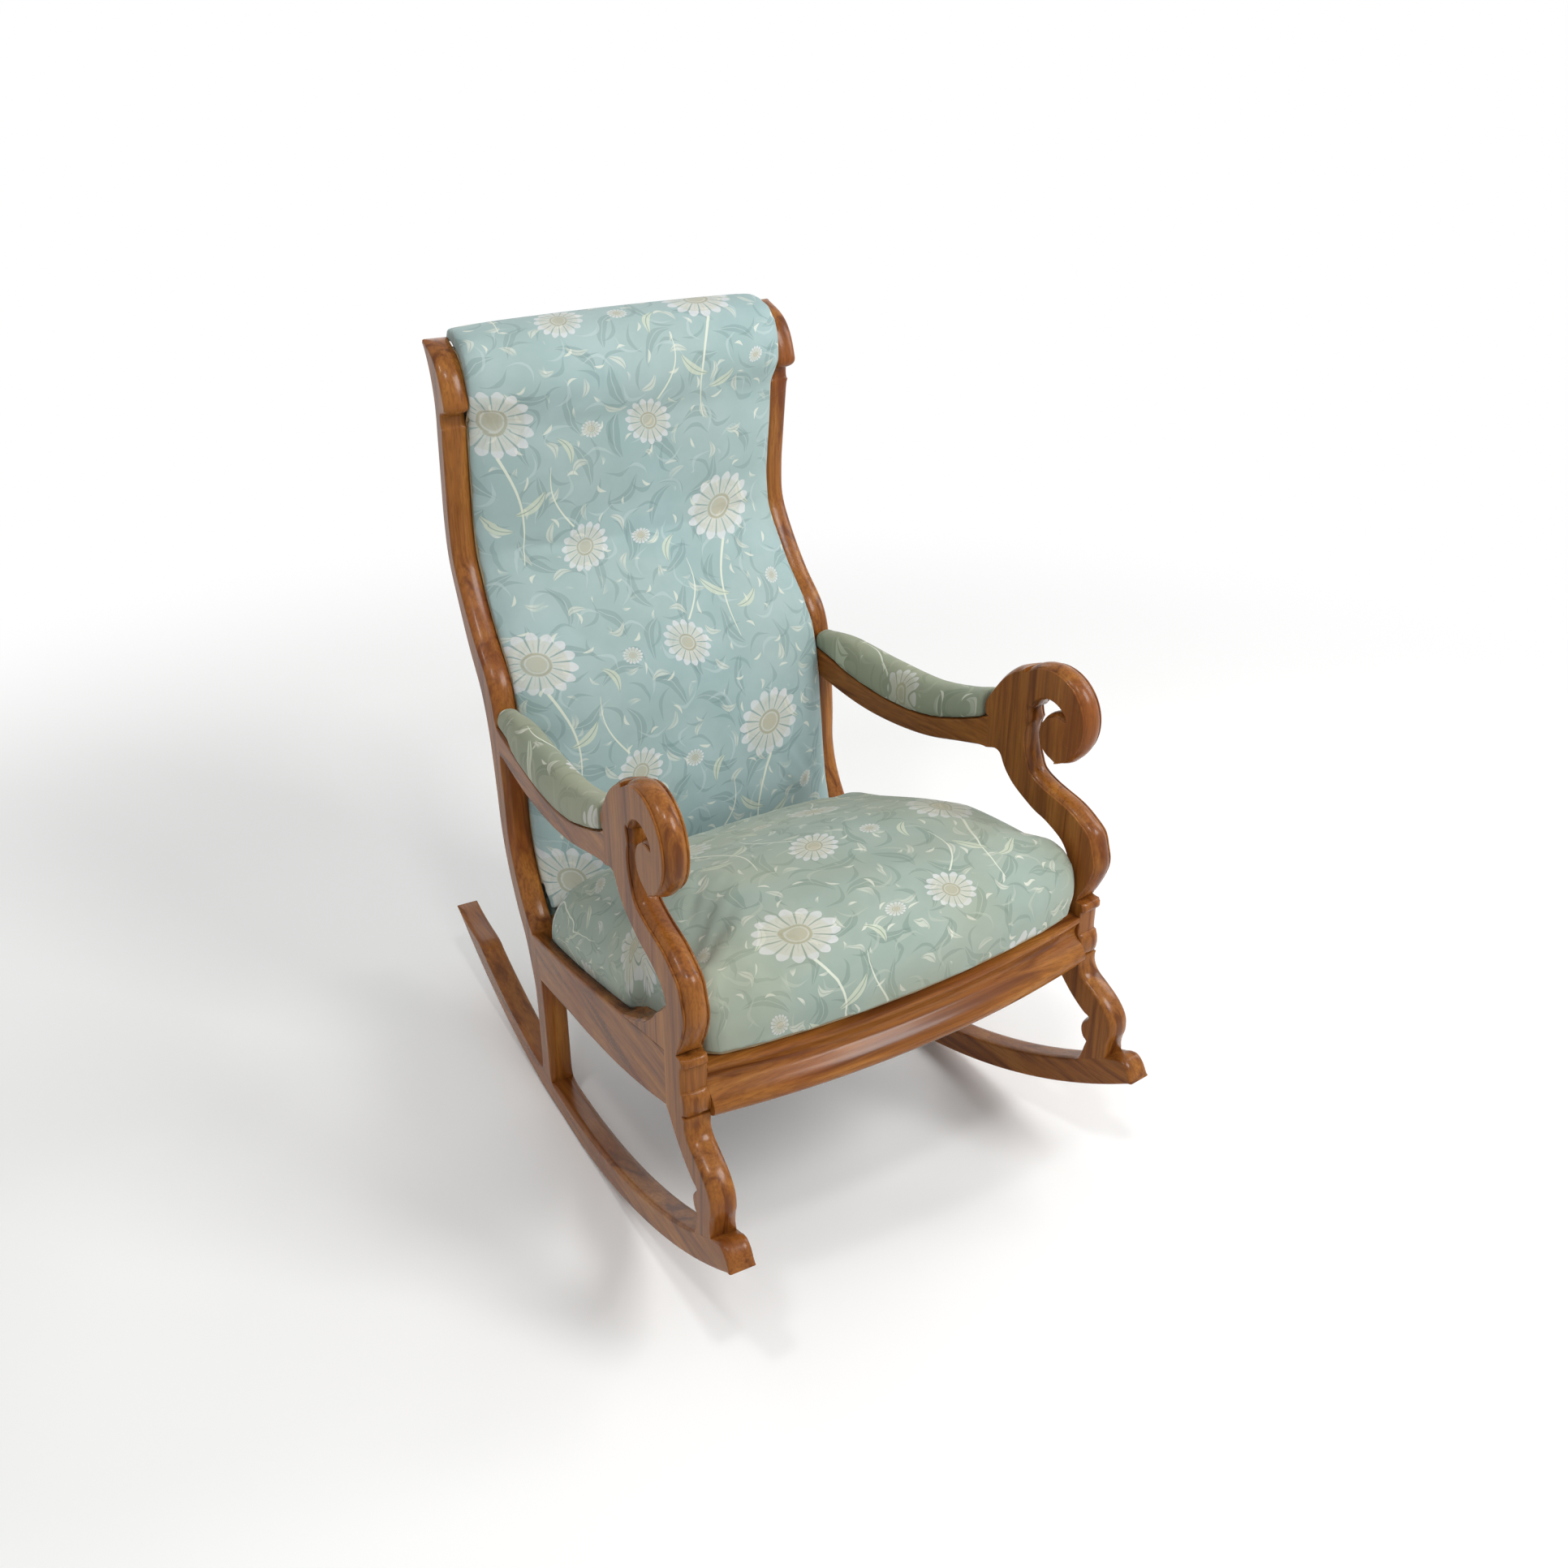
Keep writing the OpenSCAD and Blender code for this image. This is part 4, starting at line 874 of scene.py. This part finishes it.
def soft_copy(node, name, voxel, shrink):
    """The cushion's starting shape: its solid, a little smaller, remeshed and relaxed."""
    mesh = CAD[node].data.copy()
    shape = welded(mesh)
    shape.to_mesh(mesh)
    shape.free()
    obj = linked(name, mesh)
    remeshed(obj, voxel)
    loose = looseness(obj.data)
    relaxed(obj.data, START_PASSES, loose)
    inward_by = shrink * loose[:, None]
    set_points(obj.data, mesh_points(obj.data) - vertex_normals(obj.data) * inward_by)
    return obj, loose


def swollen(obj, loose, backing, cap):
    """Lets a cushion swell where it is loose, and smooths it."""
    inflate(obj, backing | (loose < HELD_BELOW), cap)
    relaxed(obj.data, SMOOTH_PASSES, loose)
    carried = obj.data.attributes.new("loose", "FLOAT", "POINT")
    carried.data.foreach_set("value", loose)
    smooth_once(obj)
    finer = np.zeros(len(obj.data.vertices))
    obj.data.attributes["loose"].data.foreach_get("value", finer)
    obj.data.attributes.remove(obj.data.attributes["loose"])
    relaxed(obj.data, SMOOTH_PASSES, finer)


def add_cloth_places(mesh, places):
    """A UV map that gives each point its place on the flat cloth, in metres."""
    layer = mesh.uv_layers.new(name="cloth")
    corners = np.zeros(len(mesh.loops), dtype=int)
    mesh.loops.foreach_get("vertex_index", corners)
    layer.data.foreach_set("uv", places[corners].reshape(-1))


def smooth_once(obj):
    made = obj.modifiers.new("finer", "SUBSURF")
    made.levels = 1
    made.render_levels = 1
    apply_modifiers(obj)
    obj.data.shade_smooth()


# the back's line starts above its foot, ends below its top, and then goes over the rolled top
LINE_FOOT = 20 * MM
LINE_HEAD = 8 * MM
LINE_POINTS = 60
OFF_MIDDLE = 3 * MM
OVER_TOP = 30 * MM
REAR_DROP = 6 * MM
# the seat's cloth falls from its crest, this far behind the front, and sinks towards the back
CREST_BACK = 60 * MM
CREST_FALL = 0.12
CORNER_BLEND = 0.05
# half the width of an arm pad's crown
PAD_CROWN = 12 * MM


def profile_length(points, axis_points):
    """How far along a line in the side view each point lies."""
    steps = np.linalg.norm(np.diff(axis_points, axis=0), axis=1)
    ahead = np.concatenate([[0], np.cumsum(steps)])
    best = np.full(len(points), np.inf)
    place = np.zeros(len(points))
    flat = points[:, 1:]
    for i, step in enumerate(steps):
        a, b = axis_points[i], axis_points[i + 1]
        share = np.clip(((flat - a) @ (b - a)) / step ** 2, 0, 1)
        away = np.linalg.norm(flat - (a + share[:, None] * (b - a)), axis=1)
        nearer = away < best
        best = np.where(nearer, away, best)
        place = np.where(nearer, ahead[i] + share * step, place)
    return place


def front_line_of(node, heights):
    """The front of a node near its middle, in the side view, at some heights."""
    low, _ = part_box(node)
    tree = wood_tree(node)
    line = []
    for z in heights:
        hit = tree.ray_cast(Vector((OFF_MIDDLE, low.y - FAR, z)), Vector((0, 1, 0)))
        if hit[0] is not None:
            line.append((hit[0].y, z))
    return np.array(line)


def seat_cushion(fabric):
    low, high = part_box("seat_cushion")
    voxel, shrink, cap, fill = SEAT_PADDING
    obj, loose = soft_copy("seat_cushion", "seat_upholstery", voxel, shrink)
    swollen(obj, loose, vertex_normals(obj.data)[:, 2] < -UNDER_SEAT, cap)
    points = mesh_points(obj.data)
    normals = vertex_normals(obj.data)
    front = low.y + CREST_BACK
    crest = high.z - (points[:, 1] - front) * CREST_FALL * (points[:, 1] > front)
    fall = np.maximum(crest - points[:, 2], 0)
    level = np.abs(normals[:, :2])
    facing = level / (level.sum(axis=1)[:, None] + CORNER_BLEND)
    places = np.column_stack([
        points[:, 0] + np.sign(points[:, 0]) * fall * facing[:, 0],
        points[:, 1] - fall * facing[:, 1] * np.where(normals[:, 1] < 0, 1, -1)])
    add_cloth_places(obj.data, places)
    finish_piece(obj, fabric, "cover_fabric", "seat_cushion")


TUCK_BAND = 12 * MM
TUCK_REACH = 3 * MM
TUCK_GAP = 0.3 * MM


def tucked(mesh):
    """Draws the edges of the back's cover up to the stiles, so that nothing shows between them."""
    points = mesh_points(mesh)
    for side in (-1, 1):
        local = to_side(points, side)
        gap = -BOARD - local[:, 0]
        near = (gap < TUCK_BAND) & (points[:, 0] * side > 0)
        closer = np.maximum(gap - TUCK_REACH * (1 - gap / TUCK_BAND), np.minimum(gap, TUCK_GAP))
        local[:, 0] = np.where(near, -BOARD - closer, local[:, 0])
        points = np.where(near[:, None], from_side(local, side), points)
    set_points(mesh, points)


def back_cushion(fabric):
    low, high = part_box("back_cushion")
    heights = np.linspace(low.z + LINE_FOOT, high.z - LINE_HEAD, LINE_POINTS)
    line = front_line_of("back_cushion", heights)
    top = np.array([[line[-1][0] + OVER_TOP, high.z], [high.y, high.z - REAR_DROP]])
    line = np.concatenate([line, top])
    voxel, shrink, cap, fill = BACK_PADDING
    obj, loose = soft_copy("back_cushion", "back_upholstery", voxel, shrink)
    swollen(obj, loose, vertex_normals(obj.data)[:, 1] > BEHIND_BACK, cap)
    tucked(obj.data)
    points = mesh_points(obj.data)
    places = np.column_stack([points[:, 0], profile_length(points, line)])
    add_cloth_places(obj.data, places)
    finish_piece(obj, fabric, "cover_fabric", "back_cushion")


def arm_pad(node, side, fabric):
    voxel, shrink, cap, fill = ARM_PADDING
    obj, loose = soft_copy(node, node + "_upholstery", voxel, shrink)
    swollen(obj, loose, vertex_normals(obj.data)[:, 2] < -UNDER_PAD, cap)
    points = mesh_points(obj.data)
    local = to_side(points, side)
    middle = local[:, 0] + BOARD / 2
    fall = np.maximum(np.abs(middle) - PAD_CROWN, 0)
    places = np.column_stack([middle + np.sign(middle) * fall, local[:, 1]])
    add_cloth_places(obj.data, places)
    finish_piece(obj, fabric, "cover_fabric", node)


# stretched cloth: the panels that close the back and the underside
PANEL_STEP = 40 * MM
PANEL_CUTS = 5
PANEL_SHARP = 40
CUT_MERGE = 0.001 * MM


def panel(name, node, material, slot, puff):
    """A stretched panel that follows its solid, a little fuller between its edges."""
    mesh = CAD[node].data.copy()
    shape = welded(mesh)
    bmesh.ops.dissolve_limit(
        shape, angle_limit=FLAT_ANGLE, verts=shape.verts, edges=shape.edges)
    for k in range(-PANEL_CUTS, PANEL_CUTS + 1):
        geometry = shape.verts[:] + shape.edges[:] + shape.faces[:]
        bmesh.ops.bisect_plane(
            shape, geom=geometry, plane_co=(k * PANEL_STEP, 0, 0), plane_no=(1, 0, 0),
            dist=CUT_MERGE)
    shape.to_mesh(mesh)
    shape.free()
    points = mesh_points(mesh)
    half = np.abs(points[:, 0]).max()
    points[:, 1] += np.cos(np.clip(points[:, 0] / half, -1, 1) * math.pi / 2) * puff
    set_points(mesh, points)
    shade(mesh, PANEL_SHARP)
    obj = linked(name, mesh)
    add_cloth_places(mesh, np.column_stack([points[:, 0], points[:, 2]]))
    finish_piece(obj, material, slot, node)
    measured = bmesh.new()
    measured.from_mesh(mesh)
    area = sum(face.calc_area() for face in measured.faces) / 2
    measured.free()


# lights, floor and world
WORLD_LIGHT = 0.5
# how far from the chair's middle the floor starts and ends its turn to white
FADE = (1.1, 2.6)
FLOOR_REACH = 60.0
LAMP_AIM = (0, 0, 0.55)
LAMPS = {
    # name: place, width and height, power
    "key": ((1.3, -2.2, 2.6), (1.0, 1.0), 54),
    "window": ((2.6, -0.6, 1.9), (0.8, 1.4), 20),
    "ceiling front": ((-0.5, -1.3, 2.6), (0.25, 0.25), 9),
    "ceiling side": ((-1.1, -0.5, 2.6), (0.25, 0.25), 7),
    "rear": ((0.6, 2.6, 2.2), (1.6, 1.0), 8),
}


def fade_floor(s):
    """Seen or mirrored, the floor turns into the white backdrop away from the chair's shadow."""
    output = next(n for n in s.tree.nodes if n.type == "OUTPUT_MATERIAL")
    lit = output.inputs[0].links[0].from_socket
    away = s.node("ShaderNodeVectorMath", {0: s.place()}, operation="LENGTH").outputs["Value"]
    rays = s.node("ShaderNodeLightPath").outputs
    seen = s.top(rays["Is Camera Ray"], rays["Is Glossy Ray"], rays["Is Transmission Ray"])
    white = s.node("ShaderNodeEmission", {"Color": (1, 1, 1, 1), "Strength": 1.0}).outputs[0]
    share = s.mul(s.ramp(away, *FADE), seen)
    blend = s.node("ShaderNodeMixShader", {0: share, 1: lit, 2: white})
    s.tree.links.new(blend.outputs[0], output.inputs[0])


def add_floor():
    s = Shader("floor")
    cloud = s.noise(s.place(), 3, 3, 0.5)
    color = s.mix(cloud, rgb(249, 249, 248), rgb(252, 252, 251))
    material = s.finish(color, 0.9)
    fade_floor(s)
    mesh = bpy.data.meshes.new("floor")
    corners = [
        (x * FLOOR_REACH, y * FLOOR_REACH, 0) for x, y in ((-1, -1), (1, -1), (1, 1), (-1, 1))]
    mesh.from_pydata(corners, [], [(0, 1, 2, 3)])
    mesh.materials.append(material)
    linked("floor", mesh)


def add_world():
    """White where it is seen or mirrored, and dimmer as a light."""
    world = bpy.data.worlds.new("studio")
    bpy.context.scene.world = world
    world.use_nodes = True
    tree = world.node_tree
    background = tree.nodes["Background"]
    path = tree.nodes.new("ShaderNodeLightPath")
    seen = path.outputs["Is Camera Ray"]
    for kind in ("Is Glossy Ray", "Is Transmission Ray"):
        either = tree.nodes.new("ShaderNodeMath")
        either.operation = "MAXIMUM"
        tree.links.new(seen, either.inputs[0])
        tree.links.new(path.outputs[kind], either.inputs[1])
        seen = either.outputs[0]
    strength = tree.nodes.new("ShaderNodeMapRange")
    strength.inputs["To Min"].default_value = WORLD_LIGHT
    strength.inputs["To Max"].default_value = 1.0
    tree.links.new(seen, strength.inputs[0])
    tree.links.new(strength.outputs[0], background.inputs["Strength"])
    background.inputs["Color"].default_value = (1, 1, 1, 1)


def add_lamps():
    for name, (place, size, power) in LAMPS.items():
        data = bpy.data.lights.new(name, "AREA")
        data.shape = "RECTANGLE"
        data.size, data.size_y = size
        data.energy = power
        obj = linked(name, data)
        obj.location = place
        aim = Vector(LAMP_AIM) - Vector(place)
        obj.rotation_euler = aim.to_track_quat("-Z", "Y").to_euler()


add_camera()
add_floor()
add_world()
add_lamps()
bpy.context.scene.view_settings.view_transform = "Standard"

woods = add_boards()
front_rail(woods["X"])
cover = cover_fabric(
    "printed cover", rgb(148, 172, 172), rgb(112, 138, 138), rgb(178, 196, 196), 0.12,
    (40 * MM, 60 * MM))
seat_cover = cover_fabric(
    "printed seat cover", rgb(146, 162, 152), rgb(108, 130, 120), rgb(172, 182, 170), 0.4,
    (-20 * MM, 110 * MM))
arm_cover = cover_fabric(
    "printed arm cover", rgb(132, 140, 120), rgb(100, 112, 94), rgb(154, 160, 140), 0.4,
    (90 * MM, 20 * MM))
seat_cushion(seat_cover)
back_cushion(cover)
arm_pad("arm_pad_left", -1, arm_cover)
arm_pad("arm_pad_right", 1, arm_cover)
panel(
    "outside_back_cover", "outside_back", cover, "cover_fabric", 2 * MM)
lining = coarse_cloth("black lining", rgb(38, 36, 35), rgb(52, 49, 46), 0.8 * MM)
panel("dust_cover_lining", "dust_cover", lining, "dust_cloth", 0)

inner_wood = plain_wood("birch", 206, 172, 124)
dowel_wood = plain_wood("beech", 214, 182, 138, "Z")
steel = spring_steel()
jute = coarse_cloth("jute", rgb(168, 142, 98), rgb(186, 160, 116), 1.6 * MM)
canvas = coarse_cloth("canvas", rgb(190, 170, 132), rgb(204, 186, 150), 1.0 * MM)
# the CAD nodes that are carried over get the material of their slot
SLOT_MATERIALS = {
    "frame_wood": inner_wood, "dowel_wood": dowel_wood, "steel": steel, "webbing": jute,
    "canvas": canvas}
for part in frame["record"]["subparts"]:
    material = SLOT_MATERIALS.get(part["material_slot"])
    if material:
        for slot in CAD[part["node"]].material_slots:
            slot.material = material
